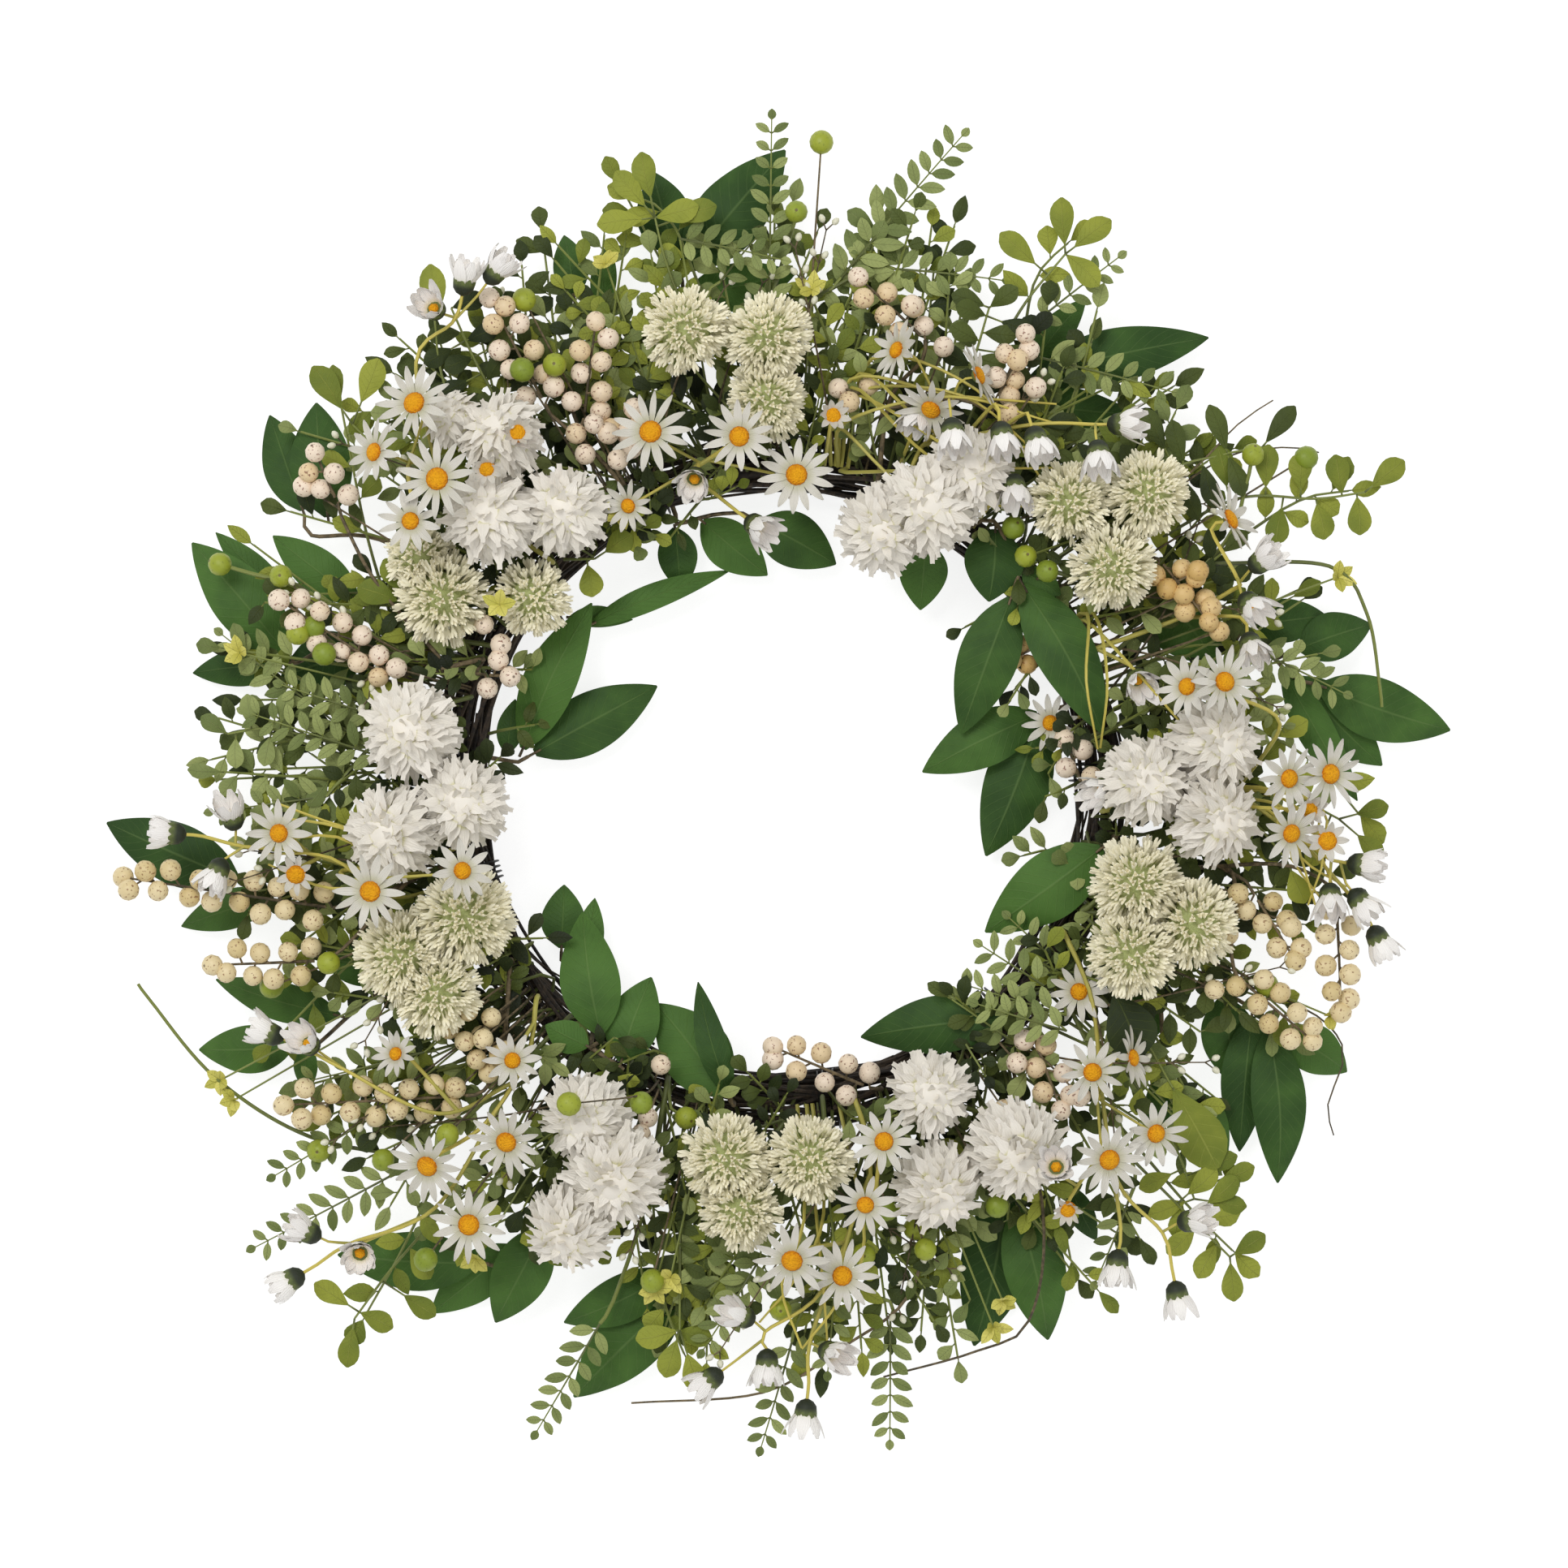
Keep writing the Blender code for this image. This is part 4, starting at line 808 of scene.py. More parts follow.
def bud(centre, facing):
    """A half-closed daisy: narrow petals in a bell, out of a dark toothed calyx."""
    centre, around = placed(centre, facing)

    def dress(sprig):
        for layer, count in ((0, 8), (1, 6)):
            for k in range(count):
                turn = 2 * math.pi * (k + 0.5 * layer + draw.uniform(-0.1, 0.1)) / count
                scale = BUD * (1 - 0.16 * layer) * draw.uniform(0.94, 1.04)
                form = BUD_PETALS[draw.randrange(3)]
                sprig.put(form, BUD_PETAL, centre, spun(around, turn), scale)
        sprig.put(BEAD, DAISY_EYE, centre - around[:, 2] * BUD * 0.08, around, BUD * 0.15)
        cup = (BUD * 0.29, BUD * 0.29, BUD * 0.46)
        sprig.put(CALYX_FORM, CALYX, centre - around[:, 2] * BUD * 0.22, around, cup)

    return centre - around[:, 2] * BUD * 0.42, around, dress


def berry(centre, diameter=CREAM_BERRY, facing=(0, 0.01, 1), finish=None):
    """A berry on the end of a stem."""
    centre = np.asarray(centre, float)
    around = frame_along(facing)

    def dress(sprig):
        one_berry(sprig, centre, around[:, 2] + point(0, 0, 0.5), diameter, finish)

    return centre - around[:, 2] * diameter * 0.45, around, dress


def one_berry(sprig, centre, facing, diameter=CREAM_BERRY, finish=None):
    size = diameter / 2 * draw.uniform(0.93, 1.03)
    finish = finish or BERRIES_OF_SPRAY.get(sprig.name, BERRY)
    sprig.put(BALL, finish, centre, spun(frame_along(facing), draw.uniform(0, 6)), size)


def bare_end(x, y, z, facing):
    """The bare end of a twig."""
    return point(x, y, z), frame_along(facing), lambda sprig: None


def lime(x, y, z, facing=(0, 0.01, 1)):
    return berry((x, y, z), LIME_BERRY, facing, LIME)


def berry_row(base, tip, rise=2.0):
    """A twig of berries on short stalks, standing to its one side and the other."""
    base, tip, around = spanned(base, tip)
    length = np.linalg.norm(tip - base)

    def dress(sprig):
        count = max(2, round(length / BERRY_SPACING) + 1)
        twig = arched(base, tip, rise, 6)
        sprig.stalk(twig, 0.75, BERRY_TWIG, 0.6)
        for i in range(count):
            at = partway(twig, i / (count - 1) * length)
            last = i == count - 1
            side = (1 if i % 2 else -1) * draw.uniform(3.4, 7.2) * (0 if last else 1)
            out = around[:, 0] * side + point(0, 0, draw.uniform(-3, 4.5))
            out += around[:, 2] * draw.uniform(-2, 2)
            one_berry(sprig, at + out, out + around[:, 2] * 3)
            sprig.stalk([at - around[:, 2] * 3, at + out * 0.9], 0.5, BERRY_TWIG, 0.8, 4)

    return base - around[:, 2] * 3, around, dress


def lean(x, y, strength=0.012):
    """Which way a head over the ring faces: up, and away from the ring's middle line."""
    out = unit((x, y, 0)) * (math.hypot(x, y) - RING_RADIUS) * strength
    return point(0, 0, 1) + out


def round_heads(name, make_head, slot, foot, hub_z, stemmed, resting=(), extras=()):
    """A bunch of round flower heads. Some have stems from the foot, the rest lie against those."""
    sprig = Sprig(name, slot, GREEN_STEM)
    ends = [make_head((x, y, z), size, lean(x, y)) for x, y, z, size in stemmed]
    sprig.fan(post(*foot, hub_z), ends)
    for x, y, z, size in resting:
        sprig.grow([post(*foot, hub_z)[1]], make_head((x, y, z), size, lean(x, y)))
    for end in extras:
        sprig.grow([], end)


def large_leaves(name, seat, stems, leaves=()):
    """Stems that end in a leaf (tip, width and perhaps rise) or bare, with more leaves beside them."""
    sprig = Sprig(name, "leaf_green", BERRY_TWIG)
    seated = post(*seat) if len(seat) == 3 else side_seat(*seat)
    for k, (path, blade_sizes) in enumerate(stems):
        path = [*(seated if k == 0 else []), *path]
        if blade_sizes:
            sprig.grow(path[:-1], leaf(path[-1], *blade_sizes))
        else:
            sprig.stalk(curve(path))
    for blade_sizes in leaves:
        sprig.grow([], leaf(*blade_sizes))


def flower(centre, diameter, facing=None, cup=0.12):
    """A daisy that faces up and a little outwards, unless told otherwise, and never quite straight."""
    facing = point(*facing) if facing else lean(centre[0], centre[1], 0.004)
    sway = point(draw.uniform(-0.15, 0.15), draw.uniform(-0.15, 0.15), 0)
    return daisy(centre, diameter, facing + sway, cup)


def spray(name, slot, finish, foot, run_z, stems):
    """Stems from one foot. Each is where it starts, the points that it runs through and its ends."""
    sprig = Sprig(name, slot, finish)
    for start, path, ends in stems:
        if start is None:
            sprig.fan([*post(*foot, run_z), *path], ends)
        else:
            sprig.fan([partway(sprig.runs[start[0]], start[1]), *path], ends, STEM * 0.85)
    return sprig


def daisies(name, foot, stems):
    spray(name, "daisy_white", YELLOW_STEM, foot, DAISY_RUN_Z, stems)


def berry_spray(name, foot, run_z, stems):
    spray(name, "berry_cream", BERRY_TWIG, foot, run_z, stems)


def small_leaf(sprig, base, out, length, width, finish):
    """A blunt little leaf on a short stalk."""
    out = unit(out)
    base = np.asarray(base, float)
    sprig.stalk([base, base + out * 2.4], 0.45, GREEN_STEM, 0.8, 3)
    outline, share = (obovate, 1) if draw.random() < 0.55 else (laurel, 0.85)
    rise = draw.uniform(0.4, 2.2)
    sprig.put(leaf_form(base + out * 1.6, base + out * length, width * share, rise, outline, 6, 2), finish)


def leafy_twig(sprig, path, count, length=17.0, width=10.0, finish=None):
    """A twig with small leaves on both sides of its outer two thirds, and one at its end. Those of the
    undergrowth, which are given their finish, leave the large leaves and the openings clear, and a twig
    that would lose most of its leaves isn't made."""
    path = curve(path, 8.0)
    whole = path_length(path)
    leaves = []
    for i in range(count):
        at = whole * (0.3 + 0.7 * (i + 1) / count) - 0.5
        start = partway(path, at)
        way = unit(start - partway(path, at - 1))
        side = unit(np.cross(way, (0, 0, 1)))
        out = way if i == count - 1 else unit(way + side * (1.5 if i % 2 else -1.5))
        out = unit(out + point(0, 0, draw.uniform(0, 0.2)))
        if not (finish and kept_clear(start + out * length * 0.55)):
            leaves.append((at, start, out))
    if len(leaves) < 0.5 * count:
        return
    reach = leaves[-1][0]
    steps = max(2, round(reach / 8))
    sprig.stalk([partway(path, reach * k / steps) for k in range(steps + 1)], 0.8, GREEN_STEM, 0.6, 4)
    for _, start, out in leaves:
        small_leaf(sprig, start, out, length * draw.uniform(0.8, 1.1), width * draw.uniform(0.8, 1.05),
                   finish or LIME_LEAF)


def ferns(name, foot, stems, twigs=()):
    """Fern fronds and lime berries on stems, and twigs with a number of small blunt leaves."""
    sprig = spray(name, "fern_green", GREEN_STEM, foot, FERN_RUN_Z, stems)
    for (number, length), path, count in twigs:
        leafy_twig(sprig, [partway(sprig.runs[number], length), *path], count)


def ring_of_twigs():
    """Many thin twigs wound round the ring, with loose ends, bound by turns of black wire."""
    sprig = Sprig("twig_ring", "twig", TWIG)
    for k in range(RING_TWIGS):
        start, span = draw.uniform(0, 2 * math.pi), draw.uniform(1.4, 4.2)
        off, turn = RING_TWIG_SPREAD * math.sqrt(draw.random()), draw.uniform(0, 2 * math.pi)
        winding, thick = draw.uniform(1.2, 2.6) * draw.choice((-1, 1)), draw.uniform(0.7, 1.5)
        sway, phase = draw.uniform(0.3, 1.6), draw.uniform(0, 6)
        loose = draw.uniform(-16, 10) if k % 4 == 0 else 0
        path = []
        for i in range(int(span * TWIG_POINTS_A_RADIAN) + 1):
            a = start + i / TWIG_POINTS_A_RADIAN
            t = i / (span * TWIG_POINTS_A_RADIAN)
            angle = turn + winding * a
            wide = off + sway * math.sin(phase + 7 * a)
            r = RING_RADIUS + wide * math.cos(angle) + loose * max(0, (t - 0.8) / 0.2) ** 2
            z = RING_CENTRE_Z + wide * math.sin(angle) + sway * math.sin(phase + 11 * a)
            path.append(point(r * math.cos(a), r * math.sin(a), max(z, thick + 0.2)))
        sprig.stalk(path, thick, TWIG, 0.6, 5)
    for k in range(RING_BINDINGS):
        middle = 2 * math.pi * (k + draw.uniform(-0.2, 0.2)) / RING_BINDINGS
        path = []
        for i in range(BINDING_POINTS):
            angle = 2 * math.pi * i / BINDING_POINTS_A_TURN
            a = middle + (i - BINDING_POINTS // 2) * BINDING_STEP
            r = RING_RADIUS + BINDING_WIDE * math.cos(angle)
            z = RING_CENTRE_Z + BINDING_HIGH * math.sin(angle)
            path.append(point(r * math.cos(a), r * math.sin(a), max(z, 0.6)))
        sprig.stalk(path, WIRE_RADIUS, WIRE, 1, 5)


ring_of_twigs()

# Large laurel leaves. Those of the rims start at the ring's flanks and stay low
large_leaves(
    "leaves_top", (100, True),
    [([(-40, 195, 17), (-46, 236, 19)], ((-57, 277, 16), 25)),
     ([(-37, 188, 16.2), (-70, 208, 18), (-92, 218, 19)], ((-97, 248, 16), 16))],
    [((-45, 229, 19), (3, 287, 15), 31, 10), ((-44, 220, 18), (8, 231, 14), 22, 2),
     ((-80, 212, 18.4), (-77, 244, 15), 12, 3)],
)
large_leaves(
    "leaves_upper_left", (148, True),
    [([(-180, 110, 17), (-214, 121, 19)], ((-231, 167, 12), 22, 2))],
    [((-203, 117.4, 18.4), (-209, 172, 18), 28, 9)],
)
large_leaves(
    "leaves_left", (162, True),
    [([(-178, 62, 16), (-205, 60, 17), (-222, 54, 18)], ((-266, 50, 10), 18, 1)),
     ([(-176, 61, 16), (-188, 81, 18)], ((-229, 112, 14), 20)),
     ([(-200, 62, 16.8), (-220, 80, 14)], ((-256, 114, 8), 14, 1))],
    [((-186, 61.4, 16.3), (-226, 48, 8), 27, 0), ((-219, 55, 17.8), (-266, 109, 14), 28, 9)],
)
large_leaves(
    "leaves_inner_left", (175, False),
    [([(-113, 12, 17)], ((-55, 44, 10), 27, 2))],
    [((-117, 12, 17), (-84, 81, 24), 24, 8), ((-123, 12, 15.5), (-119, 38, 14), 12, 1)],
)
large_leaves(
    "leaves_inner_upper_left", (142, False),
    [([(-89, 70, 16)], ((-22, 96, 15), 12, 7))],
    [((-96, 75, 15), (-66, 74, 11), 10, 1)],
)
large_leaves(
    "leaves_inner_top", (111, False),
    [([(-46, 117, 16), (-30, 121, 18), (-11, 119, 18)], ((26, 99, 14), 25))],
    [((-47, 117, 16), (-44, 87, 14), 18, 2), ((-36, 119.5, 17.3), (-5, 94, 13), 22, 6)],
)
large_leaves(
    "leaves_inner_upper_right", (108, 96, 38),
    [([(105, 86, 39)], ((82, 22, 28), 27, 4)),
     ([(107, 92, 38.5), (96, 117, 39), (80, 112, 34), (66, 110, 28)], ((64, 78, 20), 22, 2))],
    [((97, 115, 39), (94, 81, 38), 27, 4), ((107, 92, 38.5), (145, 22, 38), 27, 9),
     ((108, 95, 38), (126, 84, 39), 13, 0)],
)
large_leaves(
    "leaves_inner_right", (15, False),
    [([(119, 32, 17)], ((94, -33, 11), 30, 3))],
    [((120, 32.5, 17), (65, 5, 17), 25, 8)],
)
large_leaves(
    "leaf_inner_right_low", (151, -24, 38.5),
    [([(147, -27, 39)], ((93, -67, 24), 30, 7))],
)
large_leaves(
    "leaves_top_right", (59, True),
    [([(105, 172, 17), (113, 187, 19)], ((139, 219, 17), 15, 3))],
    [((110, 182, 18.4), (195, 202, 14), 25, 9), ((105.5, 173, 17), (161, 167, 12), 20, 2)],
)
large_leaves(
    "leaves_right", (19, True),
    [([(185, 62, 16), (215, 62, 18), (241, 45, 19)], ((305, 24, 14), 28, 7)),
     ([(172, 58, 15), (167, 94, 18)], None),
     ([(205, 62, 17.3), (211, 72, 18)], ((248, 76, 14), 20)),
     ([(224, 56, 18.3), (233, 60, 19)], ((269, 72, 13), 22))],
    [((167.5, 91, 18), (198, 54, 20), 33), ((233, 49.5, 18.6), (274, 8, 11), 26, 1),
     ((226, 54, 18.4), (262, -8, 16), 17, 5)],
)
large_leaves(
    "leaves_lower_right", (-27, True),
    [([(180, -88, 16), (206, -97, 18), (227, -112, 19)], ((258, -131, 13), 22)),
     ([(163, -81, 15), (172, -97, 17), (179, -137, 18)], ((202, -174, 13), 25))],
    [((200, -94.5, 17.6), (207, -137, 10), 25, 2), ((214, -102, 18.4), (209, -167, 13), 22, 5),
     ((221, -107.5, 18.8), (226, -181, 18), 25, 9), ((171, -95, 17), (151, -117, 10), 26, 1),
     ((177, -124, 17.8), (166, -165, 13), 14, 2)],
)
large_leaves(
    "leaf_inner_lower_right", (107, -103, 38),
    [([(104, -104.5, 39)], ((37, -114, 27), 26, 6))],
)
large_leaves(
    "leaves_bottom_right", (-59.3, True),
    [([(100, -168, 17), (107, -187, 19)], ((122, -252, 17), 28, 10)),
     ([(103, -176, 18), (131, -181, 19)], ((144, -207, 15), 12))],
    [((104, -179, 18), (89, -256, 7), 32, 2)],
)
large_leaves(
    "leaves_bottom_left", (246, True),
    [([(-85, -175, 16), (-108, -201, 18), (-132, -217, 19)], ((-200, -214, 14), 27)),
     ([(-75, -160.5, 14.5), (-55, -200, 18), (-42, -229, 19)], ((-93, -279, 11), 30, 7))],
    [((-46, -220, 18.6), (-97, -244, 17), 22, 10), ((-118, -207.5, 18.3), (-158, -241, 9), 22, 1),
     ((-104, -198, 18), (-128, -244, 18), 26, 8)],
)
large_leaves(
    "leaves_lower_left", (201, True),
    [([(-185, -56, 16), (-226, -50, 18), (-241, -45, 19)], ((-305, -18, 14), 28, 7)),
     ([(-160, -57.5, 14), (-172, -85, 16), (-195, -106, 18), (-217, -119, 19)], ((-263, -121, 13), 22))],
    [((-226, -50, 18), (-271, -65, 12), 18), ((-195, -106, 18), (-255, -89, 14), 18),
     ((-172, -85, 16), (-208, -79, 13), 20), ((-213, -117, 19), (-213, -140, 16), 11)],
)
large_leaves(
    "leaves_inner_lower_left", (-84, -118, 38),
    [([(-79, -115, 38.5)], ((-88, -58, 28), 27, 8)),
     ([(-84, -118, 36), (-69, -128, 37)], None),
     ([(-84, -118, 36), (-82, -97, 26), (-90, -86, 19), (-98, -76, 17)], ((-97, -46, 12), 20, 2))],
    [((-71, -126.7, 36.9), (-57, -87, 30), 24, 3), ((-84, -118, 38), (-104, -108, 39), 15, 1),
     ((-90, -86, 19), (-83, -52, 14), 14, 2)],
)
large_leaves(
    "leaves_inner_bottom", (-20, -144, 38),
    [([(-22, -141, 38.8)], ((-55, -99, 26), 31, 3))],
    [((-20.5, -143, 38.5), (-36, -89, 33), 14, 9)],
)

# Chrysanthemums, by threes and fours
round_heads(
    "mums_upper_left", mum, "petal_white", (-92, 113), 35,
    [(-95, 120, 62, 41)],
    [(-126, 117, 69, 43), (-122, 153, 64, 40), (-144, 161, 60, 28)],
    [daisy((-114, 153, 79), 19, (0.2, 0, 1), cup=0.7)],
)
round_heads(
    "mums_upper_right", mum, "petal_white", (68, 126), 35,
    [(66, 122, 64, 46)],
    [(46, 112, 61, 41), (84, 137, 62, 40)],
)
round_heads(
    "mums_right", mum, "petal_white", (148, 2), 35,
    [(161, 1, 64, 41)],
    [(192, 17, 63, 43), (192, -16, 65, 42)],
    [bud((142, -3, 62), (-0.8, -0.4, 0.5))],
)
round_heads(
    "mums_lower_right", mum, "petal_white", (58, -138), 35,
    [(67, -136, 62, 38), (71, -178, 61, 41)],
    [(105, -161, 63, 45)],
)
round_heads(
    "mums_lower_left", mum, "petal_white", (-72, -136), 35,
    [(-85, -147, 63, 40)],
    [(-72, -172, 64, 46), (-92, -196, 61, 41)],
)
round_heads(
    "mums_left", mum, "petal_white", (-144, -9), 35,
    [(-139, -9, 61, 41), (-162, 23, 63, 45)],
    [(-170, -22, 63, 43)],
)

# Allium balls, by threes
round_heads(
    "alliums_top", allium, "allium_cream", (-4, 148), 35,
    [(-5, 169, 60, 38), (-41, 200, 61, 41)],
    [(-5, 197, 62, 41)],
)
round_heads(
    "alliums_upper_left", allium, "allium_cream", (-114, 88), 33,
    [(-109, 82, 50, 36), (-149, 82, 49, 44)],
    [(-159, 100, 48, 34)],
)
round_heads(
    "alliums_lower_left", allium, "allium_cream", (-134, -57), 35,
    [(-138, -59, 63, 46)],
    [(-166, -76, 63, 44), (-151, -92, 62, 42)],
)
round_heads(
    "alliums_bottom", allium, "allium_cream", (4, -150), 35,
    [(14, -166, 62, 40), (-23, -165, 63, 42)],
    [(-17, -188, 60, 38)],
)
round_heads(
    "alliums_right", allium, "allium_cream", (136, -58), 35,
    [(158, -44, 61, 44)],
    [(183, -62, 61, 42), (156, -75, 62, 42)],
)
round_heads(
    "alliums_upper_right", allium, "allium_cream", (117, 96), 35,
    [(128, 124, 61, 38), (163, 128, 60, 40)],
    [(147, 95, 62, 40)],
)

daisies("daisies_upper_left", (-104, 101), [
    (None, [(-148, 133, 41), (-164, 142, 50)],
     [flower((-160, 114, 86), 28), flower((-148, 132, 91), 36),
      flower((-177, 145, 74), 30, (-0.7, 0, 0.7)), flower((-159, 166, 80), 35)]),
    ((0, 84), [(-160, 186, 60), (-144, 203, 62)],
     [bud((-138, 222, 67), (0.2, 1, 0.3)), bud((-124, 226, 66), (0.8, 1, 0.3)),
      bud((-152, 209, 70), (-0.3, 0.2, 0.8))]),
])
daisies("daisies_top", (-40, 139), [
    (None, [(-34, 142, 47)],
     [flower((-17, 151, 83), 32), flower((-56, 154, 72), 36), flower((8, 135, 74), 34),
      flower((-66, 122, 65), 24, (-0.5, -0.3, 0.9))]),
    ((0, 15), [], [bud((-37, 133, 67), (-0.1, -0.5, 0.8))]),
    ((0, 19), [(-18, 120, 55)], [bud((-9, 113, 61), (0.5, -0.4, 0.5))]),
])
daisies("daisies_upper_right", (57, 133.5), [
    (None, [(64, 150, 42), (76, 160, 48)],
     [flower((67, 164, 70), 32, (-0.3, -0.6, 0.7)), flower((52, 190, 70), 28, (-0.7, 0.2, 0.6)),
      flower((88, 179, 68), 30, (0.9, 0.2, 0.4)), bud((76, 152, 85), (0.1, -1, 0.3))]),
    ((0, 43), [(112, 158, 62), (140, 158, 63)],
     [bud((152, 158, 66), (1, 0, 0.4)), bud((140, 143, 78), (0.1, -1, 0.4))]),
    ((1, 20), [], [bud((98, 151, 78), (0.2, -1, 0.3))]),
    ((1, 36), [], [bud((113, 149, 78), (0.3, -1, 0.3))]),
])
daisies("daisies_right_upper", (133, 57), [
    (None, [(175, 72, 41), (202, 86, 44), (203, 90, 58)],
     [flower((199, 116, 66), 34, (0.7, 0.5, 0.5)), bud((213, 98, 68), (0.8, 0.6, 0.5)),
      bud((208, 78, 69), (0.6, -0.7, 0.6))]),
    ((0, 74), [], [bud((209, 60, 60), (0.3, -1, 0.7))]),
    ((0, 34), [], [bud((159, 45, 60), (0.2, -0.5, 0.8))]),
])
daisies("daisies_right", (147, -12), [
    (None, [(180, -3, 41), (214, -2, 46), (220, -4, 56)],
     [flower((223, 2, 80), 30), flower((224, -22, 80), 30), flower((242, 4, 74), 32, (0.3, 0.1, 1))]),
    ((0, 84), [(221, 26, 64), (200, 38, 76)],
     [flower((194, 44, 88), 32), flower((178, 42, 84), 28, (-0.5, 0, 1))]),
    ((0, 80), [(244, -34, 62)],
     [bud((258, -36, 65), (1, -0.1, 0.3)), bud((243, -51, 67), (0, -0.8, 0.4)),
      bud((257, -53, 65), (0.6, -0.8, 0.2))]),
    ((2, 24), [], [flower((240, -25, 78), 20, (0.1, 0, 1), 0.4)]),
    ((2, 39), [(255, -52, 58)], [bud((266, -70, 58), (0.5, -1, 0))]),
])
daisies("daisies_lower_right", (128, -68), [
    (None, [(140, -98, 41), (143, -140, 47)],
     [flower((138, -127, 68), 30), flower((156, -121, 64), 28, (0.7, 0.3, 0.5)),
      flower((166, -154, 68), 30), flower((145, -165, 74), 33)]),
    ((0, 92), [(150, -176, 56), (170, -199, 58)],
     [bud((177, -228, 57), (0.2, -1, 0)), bud((183, -193, 64), (1, 0.2, 0.5))]),
    ((1, 36), [], [bud((150, -214, 56), (-0.1, -1, 0.1))]),
    ((1, 28), [(132, -178, 60)],
     [flower((127, -187, 72), 17, (-0.2, -0.3, 1), 0.7), bud((121, -167, 84), (-0.1, 0.3, 1))]),
])
daisies("daisies_bottom", (34, -141), [
    (None, [(40, -160, 41), (42, -188, 46)],
     [flower((46, -156, 84), 30), flower((38, -184, 80), 28)]),
    ((0, 58), [(20, -224, 54), (-6, -243, 56)],
     [bud((-5, -258, 56), (0, -1, 0.1)), bud((-17, -235, 61), (-0.9, 0.4, 0.4)),
      bud((-31, -265, 55), (-0.8, -0.6, 0))]),
    ((1, 26), [], [flower((28, -216, 73), 32, (0.1, 0, 1))]),
    ((1, 33), [], [flower((6, -208, 84), 34)]),
    ((1, 44), [(14, -248, 54)], [bud((12, -281, 52), (-0.1, -1, 0)), bud((24, -252, 60), (0.6, -0.2, 0.6))]),
])
daisies("daisies_lower_left", (-108, -97), [
    (None, [(-112, -122, 41), (-130, -151, 48)],
     [flower((-154, -168, 72), 34), flower((-119, -157, 76), 33)]),
    ((0, 62), [(-150, -146, 58), (-192, -126, 62)],
     [bud((-225, -110, 65), (-1, 0.4, 0.1)), bud((-207, -114, 71), (-0.4, 0.4, 0.8))]),
    ((0, 74), [(-152, -188, 56), (-190, -204, 58)],
     [bud((-217, -221, 57), (-1, -0.6, 0)), bud((-209, -198, 62), (-0.8, 0.4, 0.2))]),
    ((2, 62), [], [bud((-184, -207, 72), (0, -0.2, 0.9))]),
    ((2, 43), [], [flower((-136, -194, 70), 34, (0.1, 0, 1))]),
    ((0, 34), [], [flower((-117, -122, 65), 26)]),
    ((1, 30), [], [flower((-168, -119, 68), 22, (-0.3, 0.3, 1), 0.3)]),
])
daisies("daisies_left", (-144, -22), [
    (None, [(-175, -36, 41), (-194, -39, 46), (-187, -43, 70)],
     [flower((-177, -47, 91), 33), flower((-137, -38, 92), 28, (0.3, 0, 1))]),
    ((0, 72), [(-212, -30, 56), (-236, -28, 60)],
     [bud((-269, -22, 62), (-1, 0.1, 0.1)), bud((-248, -40, 62), (-0.4, -0.8, 0.2)),
      bud((-241, -14, 64), (-0.2, 0.8, 0.4))]),
    ((1, 24), [], [flower((-219, -22, 72), 30)]),
    ((1, 18), [], [flower((-212, -40, 68), 19, (0, -0.3, 1), 0.3)]),
])

berry_spray("berries_upper_left", (-66, 129), BERRY_RUN_Z, [
    (None, [(-80, 145, 38), (-92, 156, 45)], [berry_row((-105, 171, 48), (-128, 215, 52))]),
    ((0, 34), [], [berry_row((-86, 165, 47), (-81, 204, 52))]),
    ((0, 20), [], [berry_row((-70, 149, 45), (-64, 166, 50))]),
    ((0, 50), [], [lime(-99, 185, 56)]),
])
berry_spray("berries_left", (-134, 55), BERRY_RUN_Z, [
    (None, [(-160, 49, 40), (-170, 49, 46)], [berry_row((-180, 54, 48), (-221, 81, 52))]),
    ((0, 12), [], [berry_row((-128, 48, 46), (-118, 47, 53))]),
    ((0, 34), [(-178, 88, 46), (-194, 118, 48)], [berry_row((-197, 127, 49), (-205, 146, 52))]),
])
berry_spray("berries_left_long", (-141, -33), BERRY_RUN_Z, [
    (None, [(-176, -49, 39), (-188, -54, 46)], [berry_row((-201, -55, 48), (-292, -42, 48))]),
    ((0, 48), [(-194, -74, 46)], [berry_row((-206, -79, 48), (-253, -81, 48))]),
])
berry_spray("berries_lower_left", (-120, -81), BERRY_RUN_Z, [
    (None, [(-122, -110, 38), (-127, -132, 45)], [berry_row((-142, -139, 47), (-219, -143, 50))]),
    ((0, 42), [], [berry((-132, -112, 49)), berry((-121, -119, 50))]),
])
berry_spray("berries_inner_bottom", (46, -137), 35, [
    (None, [], [berry_row((38, -135, 37), (-4, -117, 38), 1.0)]),
])
berry_spray("berries_lower_right", (112, -95), BERRY_RUN_Z, [
    (None, [(114, -106, 38)], [berry_row((114, -114, 43), (126, -147, 50))]),
])
berry_spray("berries_right", (140, -38), FERN_RUN_Z, [
    (None, [(184, -38, 33.5), (202, -40, 45), (201, -76, 50)],
     [berry_row((206, -88, 50), (239, -116, 50))]),
    ((0, 74), [], [berry_row((213, -52, 48), (230, -80, 52))]),
    ((0, 66), [(222, -36, 48), (240, -42, 48)], [berry_row((248, -56, 50), (250, -102, 50))]),
])
berry_spray("berries_inner_right", (138, -8), 35, [
    (None, [], [berry_row((135, 1, 37), (128, 19, 38), 1.0)]),
])
berry_spray("berries_right_upper", (129, 66), BERRY_RUN_Z, [
    (None, [(150, 84, 38), (160, 100, 45)], [berry_row((171, 97, 48), (190, 72, 54))]),
])
